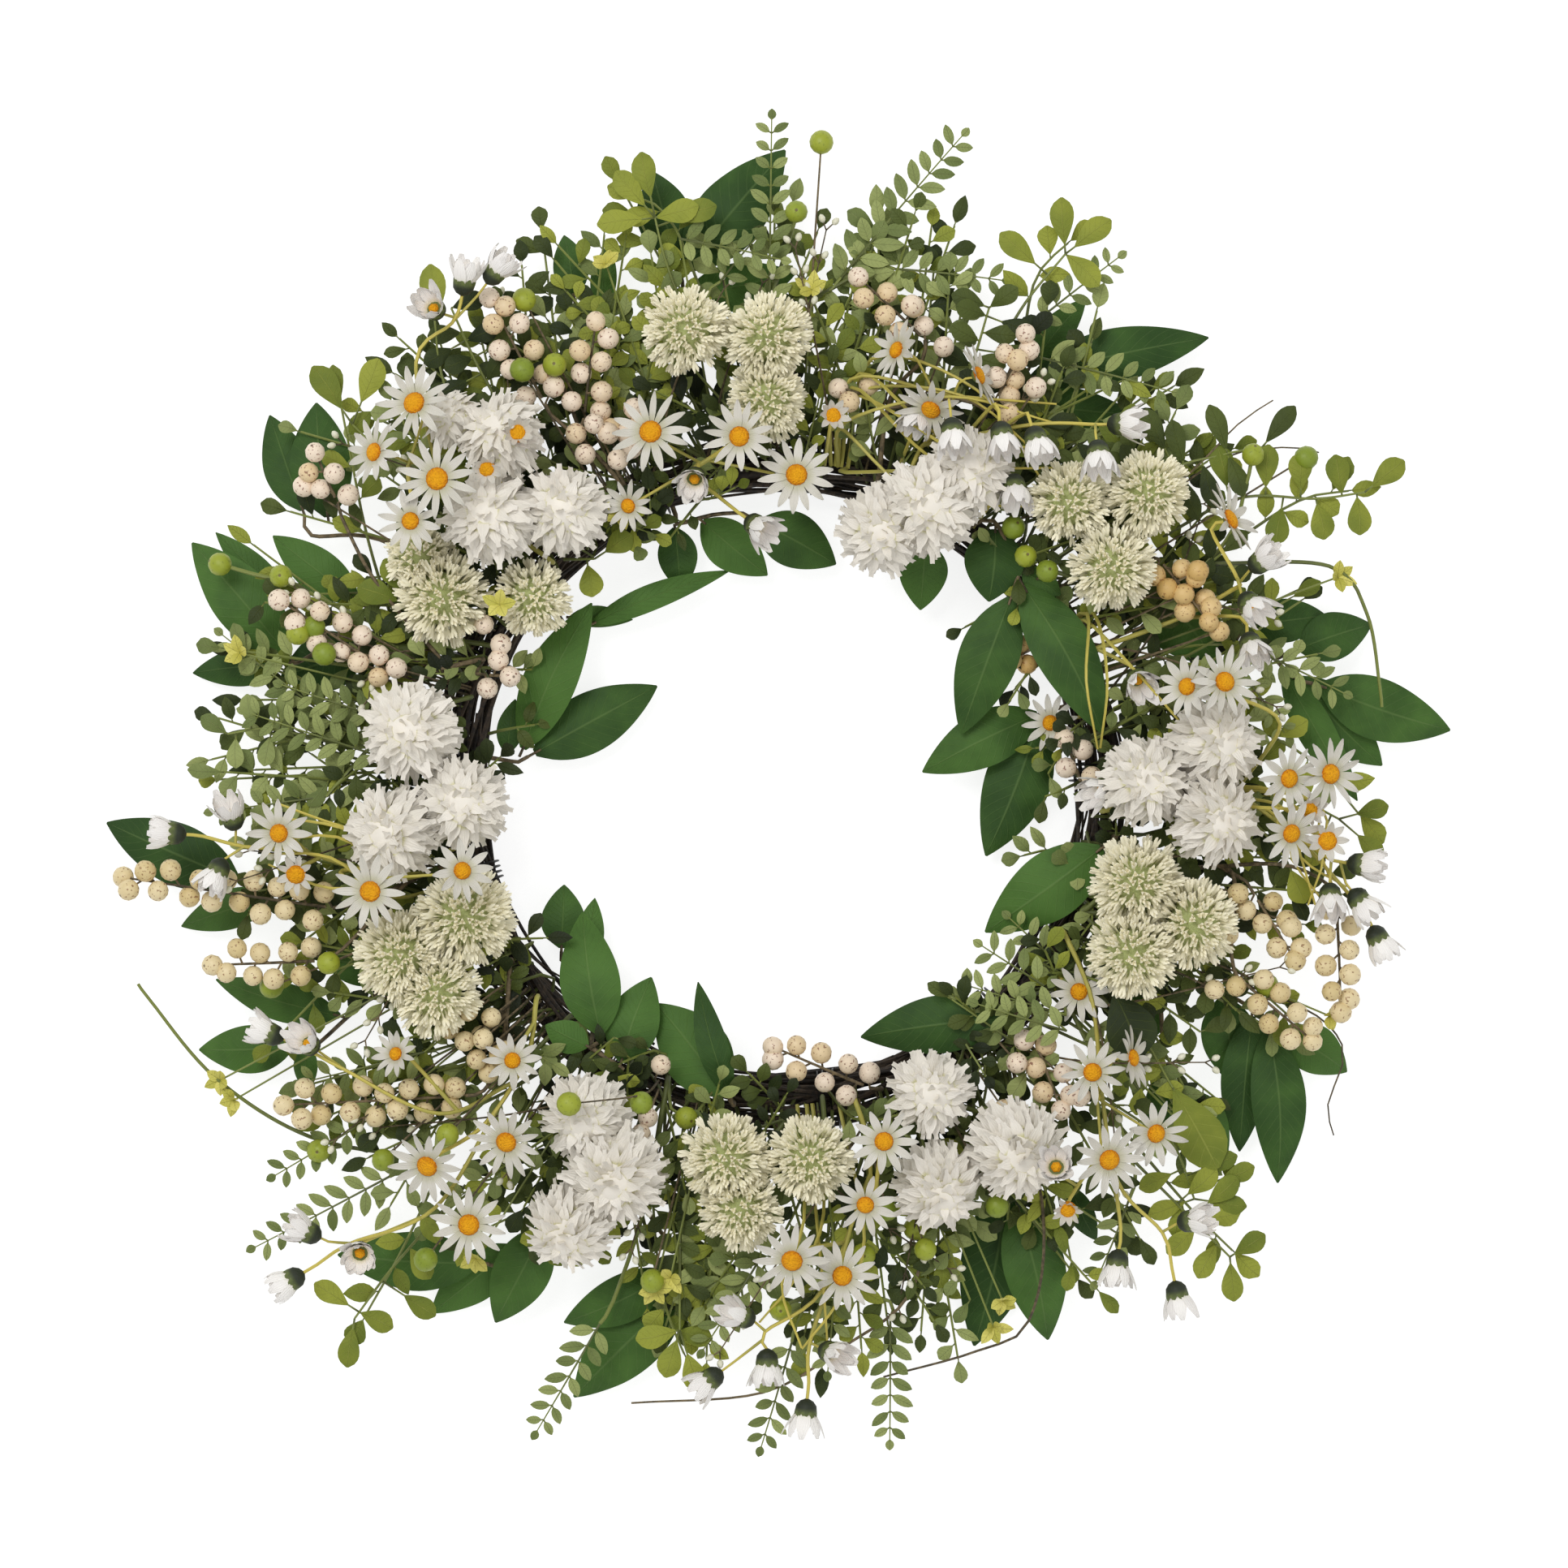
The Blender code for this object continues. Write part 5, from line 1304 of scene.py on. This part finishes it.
berry_spray("berries_top_right", (45, 138), BERRY_RUN_Z, [
    (None, [(50, 172, 38), (64, 188, 45)], [berry_row((63, 199, 47), (36, 224, 50))]),
    ((0, 50), [(80, 171, 43)], [berry_row((98, 172, 47), (109, 198, 50))]),
    ((0, 40), [], [berry_row((38, 173, 43), (25, 176, 48))]),
])

ferns("ferns_top", (-22, 143), [
    (None, [(-24, 185, 33), (-15, 207, 35)], [frond((-4, 214, 36), (-3, 299, 34), 10)]),
    ((0, 70), [(9, 213, 36), (24, 221, 36.5)], [frond((28, 226, 36.5), (83, 291, 36), 12)]),
    ((1, 44), [], [frond((52, 230, 36), (101, 225, 35), 10)]),
    ((0, 64), [], [frond((-26, 224, 37), (-8, 246, 36), 8)]),
    ((0, 108), [], [lime(8, 254, 49)]),
], [((3, 16), [(-48, 252, 38), (-63, 262, 38)], 4)])
ferns("ferns_top_right", (80, 121), [
    (None, [(98, 158, 33), (110, 187, 35)], [frond((118, 190, 36), (177, 175, 35), 11)]),
    ((0, 76), [(112, 204, 36)], [frond((116, 207, 36), (153, 236, 36), 9)]),
], [((1, 15), [(115, 226, 38), (130, 242, 38)], 4)])
ferns("ferns_right_upper", (137, 46), [
    (None, [(165, 72, 33), (200, 108, 35)], [lime(211, 146, 49, (0.2, 1, 0.4))]),
    ((0, 92), [(246, 97, 40), (263, 76, 40)], [bare_end(270, 34, 38, (0.1, -1, 0))]),
], [((0, 96), [(232, 126, 38), (256, 131, 37)], 6)])
ferns("ferns_right", (143, 22), [
    (None, [(196, 48, 34)], [frond((214, 59, 36), (254, 40, 34), 10)]),
    ((0, 66), [], [frond((210, 46, 36), (228, 20, 35), 8)]),
], [((0, 60), [(236, 12, 36), (260, -14, 36)], 4)])
ferns("ferns_lower_right", (120, -82), [
    (None, [(140, -120, 33), (158, -168, 35)], [frond((157, -186, 36), (142, -224, 34), 9)]),
    ((0, 30), [], [frond((124, -102, 44), (84, -90, 44), 10)]),
    ((0, 8), [], [frond((120, -76, 35), (103, -60, 33), 9)]),
], [((0, 96), [(184, -190, 37), (204, -210, 36)], 5)])
ferns("ferns_bottom", (20, -144), [
    (None, [(24, -190, 33), (28, -224, 35)], [frond((50, -240, 36), (50, -296, 33), 10)]),
    ((0, 80), [], [frond((6, -250, 36), (-8, -299, 33), 10)]),
    ((0, 74), [], [lime(38, -210, 44)]),
    ((1, 24), [], [lime(1, -234, 49)]),
    ((0, 62), [], [lime(61, -199, 38, (1, -0.2, 0.2))]),
])
ferns("ferns_bottom_left", (-50, -136), [
    (None, [(-60, -190, 33), (-74, -232, 35)], [frond((-80, -242, 36), (-109, -292, 33), 10)]),
    ((0, 14), [], [lime(-41, -149, 44, (0.6, -0.3, 0.6))]),
], [((0, 76), [(-50, -236, 36), (-42, -256, 36)], 4)])
ferns("ferns_lower_left", (-97, -108), [
    (None, [(-150, -160, 33)], [frond((-174, -176, 36), (-236, -209, 33), 10)]),
    ((0, 106), [(-210, -158, 38), (-252, -132, 38)], [bare_end(-287, -90, 38, (-0.6, 0.8, 0))]),
    ((1, 36), [], [lime(-205, -164, 45)]),
], [((0, 84), [(-166, -204, 36), (-186, -240, 35)], 5)])
ferns("ferns_left", (-140, 38), [
    (None, [(-172, 28, 33)], [frond((-190, 21, 35.5), (-250, 67, 33), 11)]),
    ((0, 50), [(-197, 0, 36)], [frond((-202, -6, 36), (-254, -13, 33), 10)]),
])
ferns("ferns_upper_left", (-131, 62), [
    (None, [(-176, 70, 33), (-216, 88, 38)], [lime(-250, 98, 37, (-1, 0.3, 0))]),
    ((0, 100), [], [lime(-221, 92, 49)]),
], [((0, 58), [(-184, 110, 34), (-192, 150, 36), (-196, 170, 36)], 5)])

# The undergrowth: small leaves on thin twigs that fill the wreath between its sprays, up to this far
# from its middle in steps of 10 degrees from the right
REACH = (225, 255, 236, 246, 264, 255, 256, 270, 248, 284, 260, 245, 274, 264, 258, 200, 262, 256,
         258, 264, 226, 240, 262, 254, 254, 268, 268, 256, 272, 274, 242, 262, 262, 270, 262, 235)
FERN_BUNCHES = {
    "ferns_right": 3, "ferns_right_upper": 30, "ferns_top_right": 58, "ferns_top": 92,
    "ferns_upper_left": 140, "ferns_left": 175, "ferns_lower_left": 222, "ferns_bottom_left": 250,
    "ferns_bottom": 278, "ferns_lower_right": 322,
}
WISPS = 28


def nearest_bunch(degrees):
    """The fern bunch that twigs at this angle belong to."""
    return Sprig.made[min(FERN_BUNCHES, key=lambda n: abs((FERN_BUNCHES[n] - degrees + 180) % 360 - 180))]


def round_the_ring(degrees, radius, z):
    return point(radius * math.cos(math.radians(degrees)), radius * math.sin(math.radians(degrees)), z)


def twigs_round(count, places, slant, leaves, lengths, kinds, bare=()):
    """Leafy twigs all round the ring. Each place is the least and most of a radius, or of a share of the
    reach there, and of a height. Of the twigs in a bare stretch, only every so many are made."""
    for k in range(count):
        degrees = 360 * (k + draw.uniform(-0.4, 0.4)) / count % 360
        if any(low < degrees < high and k % every for low, high, every in bare):
            continue
        lean_by, path = draw.uniform(-slant, slant), []
        for share, (near, far, low, high) in zip((0, 0.4, 1), places):
            radius = draw.uniform(near, far) * (REACH[int(degrees / 10)] if far < 2 else 1)
            path.append(round_the_ring(degrees + lean_by * share, radius, draw.uniform(low, high)))
        length = draw.uniform(*lengths)
        finish = kinds[k % len(kinds)]
        leafy_twig(nearest_bunch(degrees), path, draw.randint(*leaves), length, length * LEAF_SHARE, finish)


def wisps():
    """Thin brown twigs that end in pairs of small white seed buds."""
    for k in range(WISPS):
        degrees = 360 * (k + draw.uniform(-0.45, 0.45)) / WISPS % 360
        reach = REACH[int(degrees / 10)] * draw.uniform(0.8, 0.98)
        sprig = nearest_bunch(degrees)
        slant = draw.uniform(-24, 24)
        path = curve([round_the_ring(degrees, 150, 24), round_the_ring(degrees + slant * 0.5, 185, 44),
                      round_the_ring(degrees + slant, reach, draw.uniform(34, 56))], 8)
        sprig.stalk(path, 0.6, BERRY_TWIG, 0.5, 4)
        for share in (0.7, 0.85, 1.0):
            at = partway(path, path_length(path) * share)
            way = unit(at - partway(path, path_length(path) * share - 2))
            side = unit(np.cross(way, (0, 0, 1)))
            for sign in (-1, 1):
                out = way + side * sign * draw.uniform(0.4, 0.8) + point(0, 0, draw.uniform(0, 0.5))
                end = at + out * 4.5
                sprig.stalk([at, end], 0.35, BERRY_TWIG, 0.8, 4)
                sprig.put(BEAD, SEED_BUD, end, frame_along(end - at), (1.5, 1.5, 2.1))


def strand(name, x, y, z, finish=None, radius=0.6):
    """A thin stem from the ring to a point, and the way that it ends."""
    sprig, end = Sprig.made[name], point(x, y, z)
    start = unit((x, y, 0)) * RING_RADIUS + point(0, 0, STRAND_FOOT_Z)
    path = curve([start, (start + end) / 2 + point(0, 0, 5), end], 8)
    sprig.stalk(path, radius, finish or BERRY_TWIG, 0.8, 5)
    return sprig, end, unit(path[-1] - path[-2])


def berries_at(name, *places, diameter=CREAM_BERRY, finish=None):
    for x, y, z in places:
        sprig, end, way = strand(name, x, y, z)
        one_berry(sprig, end + way * diameter * 0.4, way, diameter, finish)


def limes_at(name, *places):
    berries_at(name, *places, diameter=LIME_BERRY, finish=LIME)


def bracts_at(name, *places):
    """Tufts of five pointed yellow leaves."""
    for x, y, z in places:
        sprig, end, way = strand(name, x, y, z, GREEN_STEM)
        around = spun(frame_along(way + point(0, 0, 1)), draw.uniform(0, 1))
        for k in range(5):
            out = unit(around @ point(math.cos(k * 1.257), math.sin(k * 1.257), draw.uniform(0.2, 0.9)))
            tip = end + out * draw.uniform(6.5, 9.5)
            sprig.put(leaf_form(end, tip, 5, 1, laurel, 6, 2), BRACT)


def bare_twig(name, *places, radius=0.7, finish=None):
    path = curve(places, 8)
    Sprig.made[name].stalk(path, radius, finish or BERRY_TWIG, 0.5, 5)


def tangle(name, x, y, count, spread, heading):
    """Yellow stems that rise from the ring and arch side by side over this place."""
    for _ in range(count):
        turn = math.radians(heading + draw.uniform(-24, 24))
        along = point(math.cos(turn), math.sin(turn), 0)
        across = point(-math.sin(turn), math.cos(turn), 0)
        aside, bulge = draw.uniform(-0.45, 0.45) * spread, draw.uniform(-0.35, 0.35) * spread
        heights = [draw.uniform(38, 50), draw.uniform(56, 66), draw.uniform(44, 60)]
        places = [point(x, y, high) + along * spread * t + across * (aside + bulge * (1 - t * t))
                  for t, high in zip((-1, 0, 1), heights)]
        start = unit((*places[0][:2], 0)) * RING_RADIUS + point(0, 0, TANGLE_FOOT_Z)
        bare_twig(name, start, *places, radius=1.0, finish=YELLOW_STEM)


def leaves_at(name, path, centres, length=20.0, width=11.0, finish=None):
    """A twig from the named bunch, with leaves whose middles lie at these places."""
    sprig = Sprig.made[name]
    path = curve(path, 4.0)
    sprig.stalk(path, 0.8, GREEN_STEM, 0.6)
    for x, y in centres:
        near = min(path, key=lambda p: math.hypot(p[0] - x, p[1] - y))
        out = point(x, y, near[2] + 1.5) - near
        gap = np.linalg.norm(out)
        out = unit(out)
        base = near + out * max(gap - length / 2, 0.5)
        sprig.stalk([near, base + out], 0.5, GREEN_STEM, 0.8, 4)
        form = leaf_form(base, base + out * length * draw.uniform(0.92, 1.08), width, 1.5, obovate, 9, 4)
        sprig.put(form, finish or LIME_LEAF)


# Long twigs to the rim, shorter ones among the flowers, a low layer over the ring, and a few inwards. Among
# the flowers and inwards one small leaf in seven is a painted shade leaf, and in the low layer two in three
# are: dark green that stands for the shadow deep in the wreath
SMALL_LEAVES = (OLIVE_LEAF, LIME_LEAF, FERN, OLIVE_LEAF, PAINTED_SHADE_LEAF, FERN, OLIVE_LEAF)
RIM_LEAVES = (OLIVE_LEAF, LIME_LEAF, FERN, OLIVE_LEAF, LIME_LEAF, FERN, OLIVE_LEAF)
BARE_RING = ((166, 200, 3), (266, 292, 3))
BARE_INSIDE = ((38, 90, 99), (118, 146, 99), (172, 212, 99), (236, 338, 99))
twigs_round(220, [(136, 158, 18, 22), (172, 192, 28, 36), (0.87, 0.99, 24, 40)], 16, (10, 14), (11, 16),
            RIM_LEAVES)
twigs_round(120, [(134, 156, 20, 24), (130, 170, 30, 36), (120, 188, 36, 46)], 14, (6, 8), (10, 15),
            SMALL_LEAVES, BARE_RING)
# Mostly painted shade leaves, for the shadow low over the ring
twigs_round(80, [(138, 160, 16, 20), (150, 180, 20, 28), (165, 215, 20, 30)], 20, (7, 9), (12, 17),
            (PAINTED_SHADE_LEAF, PAINTED_SHADE_LEAF, OLIVE_LEAF))
twigs_round(60, [(132, 140, 20, 24), (122, 130, 24, 34), (108, 120, 24, 36)], 14, (4, 6), (9, 14),
            SMALL_LEAVES, BARE_INSIDE)
wisps()
leaves_at("ferns_upper_left", [(-138, 150, 40), (-150, 182, 44), (-153, 206, 46)], [(-154, 219)], 26, 12)
leaves_at("ferns_upper_left", [(-150, 120, 36), (-176, 146, 40), (-190, 160, 42)],
          [(-201, 176), (-182, 180)], 22, 12)
leaves_at("ferns_top", [(-38, 200, 38), (-50, 232, 42), (-55, 252, 44)],
          [(-66, 265), (-59, 271), (-47, 254), (-37, 254), (-70, 250)], 20, 11)
leaves_at("ferns_top_right", [(96, 190, 36), (110, 214, 42), (128, 236, 44)],
          [(107, 238), (127, 250), (140, 245), (134, 230)], 20, 11)
leaves_at("ferns_right_upper", [(168, 108, 34), (205, 127, 40), (240, 127, 42), (262, 130, 42)],
          [(198, 141), (218, 141), (223, 114), (233, 140), (242, 116), (250, 138), (259, 119), (272, 138)],
          18, 11)
leaves_at("ferns_upper_left", [(-140, 70, 36), (-160, 78, 44)], [(-178, 84), (-170, 92)], 18, 12)
leaves_at("ferns_left", [(-150, 36, 36), (-164, 38, 44)], [(-177, 41)], 18, 12)
leaves_at("ferns_upper_left", [(-96, 100, 36), (-82, 100, 40)], [(-71, 107), (-84, 90)], 15, 11)
leaves_at("ferns_bottom_left", [(-44, -200, 36), (-44, -244, 42)], [(-48, -257), (-38, -263), (-54, -246)],
          18, 11)
leaves_at("ferns_lower_left", [(-140, -180, 34), (-172, -216, 38), (-190, -240, 38)],
          [(-200, -229), (-192, -253), (-160, -234), (-181, -240), (-162, -212)], 18, 10)
leaves_at("ferns_lower_right", [(150, -160, 34), (178, -188, 40), (202, -212, 40)],
          [(203, -223), (211, -206), (189, -178), (198, -182), (180, -204), (192, -213)], 17, 10)
leaves_at("ferns_right", [(220, 0, 36), (250, -16, 42)], [(265, -12), (264, -28), (240, -30)], 15, 9)
leaves_at("ferns_right_upper", [(140, 110, 34), (172, 138, 40), (196, 146, 42), (216, 150, 42)],
          [(168, 158), (178, 152), (182, 128), (196, 158), (204, 136), (192, 132), (224, 160), (160, 142)],
          21, 9, OLIVE_LEAF)
leaves_at("ferns_lower_right", [(136, -90, 34), (160, -110, 38), (176, -136, 40)], [(186, -154)], 42, 22)
leaves_at("ferns_lower_right", [(150, -120, 34), (176, -160, 38), (186, -186, 38)],
          [(168, -178), (196, -170), (174, -190), (200, -188), (206, -174)], 17, 9)
leaves_at("ferns_lower_right", [(130, -84, 34), (148, -90, 50)], [(155, -106)], 30, 23, OLIVE_LEAF)
leaves_at("ferns_right", [(205, -8, 36), (226, -34, 46)], [(231, -46)], 16, 11)
leaves_at("ferns_upper_left", [(-118, 158, 36), (-134, 186, 42), (-146, 212, 42)],
          [(-128, 182), (-140, 188), (-132, 200), (-148, 200), (-139, 214), (-152, 190), (-124, 196),
           (-145, 176)], 15, 9, OLIVE_LEAF)
leaves_at("ferns_top_right", [(74, 160, 36), (86, 186, 40), (94, 212, 42)],
          [(84, 200), (93, 188), (99, 200), (90, 209), (103, 191), (79, 190), (97, 214), (85, 215),
           (106, 203)], 15, 9, OLIVE_LEAF)
# Painted shade leaves among the olive ones: dark green for the shadow between them
leaves_at("ferns_top_right", [(80, 150, 36), (92, 176, 38), (112, 200, 40)],
          [(86, 180), (97, 178), (108, 190), (92, 170), (110, 176), (116, 204), (100, 168)],
          14, 8, PAINTED_SHADE_LEAF)
leaves_at("ferns_left", [(-190, 16, 38), (-226, 24, 40), (-246, 22, 40)],
          [(-236, 32), (-242, 13), (-252, 26), (-228, 14), (-220, 34)], 14, 8, FERN)
for name, *ends in (
    ("ferns_top", (-44, 243, 40), (2, 233, 44)),
    ("ferns_left", (-178, 12, 38), (-238, 32, 42)),
    ("ferns_left", (-180, 30, 38), (-222, 44, 40)),
    ("ferns_bottom", (26, -214, 38), (22, -264, 38)),
    ("ferns_bottom", (-8, -212, 38), (-34, -254, 38)),
    ("ferns_lower_right", (128, -110, 48), (88, -98, 48)),
    ("ferns_lower_right", (118, -90, 44), (90, -72, 44)),
    ("ferns_lower_left", (-158, -120, 40), (-214, -134, 40)),
    ("ferns_lower_left", (-176, -146, 40), (-226, -176, 38)),
):
    strand(name, *ends[0], GREEN_STEM)
    frond(*ends, 10)[2](Sprig.made[name])

# Odd berries, tufts, twigs and flowers between the sprays
berries_at("berries_upper_left", (-84, 143, 50), (-74, 152, 52), (-70, 141, 56), (-80, 156, 54),
           (-66, 152, 47), (-88, 152, 48))
berries_at("berries_right_upper", (112, 64, 30), (115, 55, 28), (108, 57, 32), (182, 92, 58), (176, 82, 54),
           (186, 80, 48), (192, 66, 50))
berries_at("berries_inner_bottom", (-53, -127, 44), (-57, -146, 42), (-60, -153, 46))
berries_at("berries_lower_left", (-135, -99, 54), (-125, -102, 52), (-143, -107, 50), (-136, -112, 56),
           (-128, -111, 60), (-121, -118, 54), (-131, -120, 52), (-126, -126, 48))
berries_at("berries_left", (-166, 50, 50), (-174, 46, 48), (-124, 62, 50), (-130, 70, 46), (-208, 130, 46))
berries_at("berries_top_right", (104, 184, 54), (112, 172, 52), (100, 160, 56), (58, 208, 52),
           (72, 190, 50))
berries_at("berries_lower_right", (104, -122, 48), (131, -136, 50), (98, -142, 46))
berries_at("berries_right", (200, -48, 52), (222, -60, 50), (196, -66, 48), (190, -90, 50))
limes_at("ferns_top", (19, 283, 36))
limes_at("ferns_upper_left", (-111, 211, 48), (-111, 179, 58), (-209, 65, 52), (-197, 56, 54),
         (-202, 68, 50))
limes_at("ferns_right_upper", (232, 143, 42), (118, 93, 54), (103, 112, 46), (109, 100, 50))
limes_at("ferns_lower_right", (213, -88, 48), (95, -184, 50), (64, -203, 48))
limes_at("ferns_bottom", (47, -185, 52))
limes_at("ferns_bottom_left", (-55, -217, 48))
limes_at("ferns_lower_left", (-222, -89, 42), (-195, -78, 56), (-172, -164, 54), (-143, -152, 62),
         (-154, -208, 52))
bare_twig("ferns_bottom_left", (-54, -134, 22), (-57, -136, 60), (-64, -137, 80), (-86, -139, 86))
one_berry(Sprig.made["ferns_bottom_left"], point(-91, -139.5, 87), point(-1, 0, 0.2), LIME_BERRY, LIME)
one_berry(Sprig.made["ferns_bottom_left"], point(-60, -140, 74), point(0, -1, 0.5), LIME_BERRY, LIME)
bracts_at("ferns_top", (-77, 232, 38), (15, 220, 42))
bracts_at("ferns_right_upper", (250, 92, 40))
bracts_at("ferns_left", (-240, 58, 44))
bracts_at("ferns_lower_left", (-250, -133, 38), (-244, -142, 38), (-135, -212, 44))
bracts_at("ferns_lower_right", (246, -104, 42), (100, -231, 42), (96, -243, 40))
bracts_at("ferns_bottom_left", (-55, -225, 44), (-48, -220, 46))
bracts_at("ferns_upper_left", (-122, 78, 74), (-70, 120, 58))
bare_twig("ferns_bottom", (60, -128, 22), (66, -190, 34), (58, -229, 38), (29, -252, 38), (-7, -273, 36),
          (-66, -278, 35), radius=1.0)
bare_twig("ferns_lower_right", (100, -106, 22), (118, -190, 38), (112, -240, 40), (89, -254, 38),
          (47, -266, 36), radius=1.0)
bare_twig("ferns_lower_right", (128, -68, 22), (222, -95, 40), (252, -117, 40), (246, -144, 38),
          (249, -158, 36))
bare_twig("ferns_right_upper", (118, 84, 22), (180, 135, 40), (205, 160, 42), (221, 171, 42))
bare_twig("ferns_right_upper", (120, 82, 22), (190, 140, 40), (225, 150, 40), (242, 148, 38))
tangle("daisies_upper_right", 76, 158, 9, 46, -18)
tangle("daisies_left", -196, -30, 5, 30, 180)
tangle("daisies_bottom", 16, -222, 4, 28, -100)
tangle("daisies_right", 234, -30, 5, 24, -70)
tangle("daisies_right_upper", 152, 46, 3, 30, -65)
for name, end in (
    ("daisies_right", daisy((122, 27, 29), 26, (-0.3, 0, 1))),
    ("daisies_lower_right", daisy((134, -93, 40), 28, (0, 0, 1))),
    ("daisies_top", bud((2, 139, 56), (0.8, -0.6, 0.3))),
    ("daisies_upper_left", daisy((-127, 137, 84), 17, (0, -0.3, 1), 0.7)),
    ("daisies_upper_right", bud((62, 162, 60), (-0.4, -1, 0.3))),
    ("daisies_top", daisy((24, 162, 62), 18, (0.2, 0, 1), 0.7)),
    ("daisies_right", daisy((233, -12, 72), 18, (0.2, -0.1, 1), 0.7)),
    ("daisies_upper_right", bud((104, 129, 66), (0.1, -1, 0.4))),
):
    joint = end[0]
    strand(name, *joint, YELLOW_STEM, 0.9)
    end[2](Sprig.made[name])

for sprig in Sprig.made.values():
    sprig.make()

# A white board under the wreath, that glows a little so that shadows on it stay faint
BOARD_HALF, BOARD_DROP = 6, 0.0005
BOARD_EDGE = [(-BOARD_HALF, -BOARD_HALF, 0), (BOARD_HALF, -BOARD_HALF, 0), (BOARD_HALF, BOARD_HALF, 0),
              (-BOARD_HALF, BOARD_HALF, 0)]
BOARD_GLOW, ROOM_LIGHT, ROOM_SEEN = 0.82, 0.55, 1.0
BOARD = Finish("white_board", (160, 160, 160), 0.9, Emission_Color=(1, 1, 1, 1),
               Emission_Strength=BOARD_GLOW)
BOARD.wear(height=BOARD.noise(900, 1), depth=0.05)
board_mesh = bpy.data.meshes.new("board")
board_mesh.from_pydata(BOARD_EDGE, [], [(0, 1, 2, 3)])
board_mesh.materials.append(BOARD.material)
board = bpy.data.objects.new("board", board_mesh)
board.location.z = cad_low[2] - BOARD_DROP
bpy.context.scene.collection.objects.link(board)
board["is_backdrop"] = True

# The room lights the wreath softly, and is white where it is seen itself
world = bpy.data.worlds.new("studio")
world.use_nodes = True
nodes, links = world.node_tree.nodes, world.node_tree.links
lit, seen = nodes["Background"], nodes.new("ShaderNodeBackground")
for background, strength in ((lit, ROOM_LIGHT), (seen, ROOM_SEEN)):
    background.inputs["Color"].default_value = (1, 1, 1, 1)
    background.inputs["Strength"].default_value = strength
either = nodes.new("ShaderNodeMixShader")
links.new(nodes.new("ShaderNodeLightPath").outputs["Is Camera Ray"], either.inputs[0])
links.new(lit.outputs[0], either.inputs[1])
links.new(seen.outputs[0], either.inputs[2])
links.new(either.outputs[0], nodes["World Output"].inputs["Surface"])
bpy.context.scene.world = world

# The photograph's frame is 1932 pixels at 0.36 mm, seen from 1.85 m
PIXEL, FRAME_PIXELS = 0.36, 1932
CAMERA_X, CAMERA_Y, CAMERA_DISTANCE, SUBJECT_Z = 2.5, -0.4, 1850.0, 50.0
SENSOR_WIDTH = 36


def soft_light(name, place, size, watts):
    """A square light that faces the wreath's middle."""
    light = bpy.data.lights.new(name, "AREA")
    light.size, light.energy = size, watts
    lamp = bpy.data.objects.new(name, light)
    lamp.location = place
    lamp.rotation_euler = (Vector(place) - Vector((0, 0, SUBJECT_Z * MM))).to_track_quat("Z", "Y").to_euler()
    bpy.context.scene.collection.objects.link(lamp)


# A key light from the upper left and a weaker one from the lower right
KEY_WATTS, FILL_WATTS = 25, 9
soft_light("key", (-0.7, 0.9, 2.2), 1.0, KEY_WATTS)
soft_light("fill", (1.0, -0.6, 2.2), 1.6, FILL_WATTS)

camera = bpy.data.objects.new("camera", bpy.data.cameras.new("camera"))
camera.data.sensor_width = SENSOR_WIDTH
camera.data.lens = SENSOR_WIDTH * CAMERA_DISTANCE / (PIXEL * FRAME_PIXELS)
camera.location = (CAMERA_X * MM, CAMERA_Y * MM, (SUBJECT_Z + CAMERA_DISTANCE) * MM)
bpy.context.scene.collection.objects.link(camera)
bpy.context.scene.camera = camera
bpy.context.scene.view_settings.view_transform = "Standard"
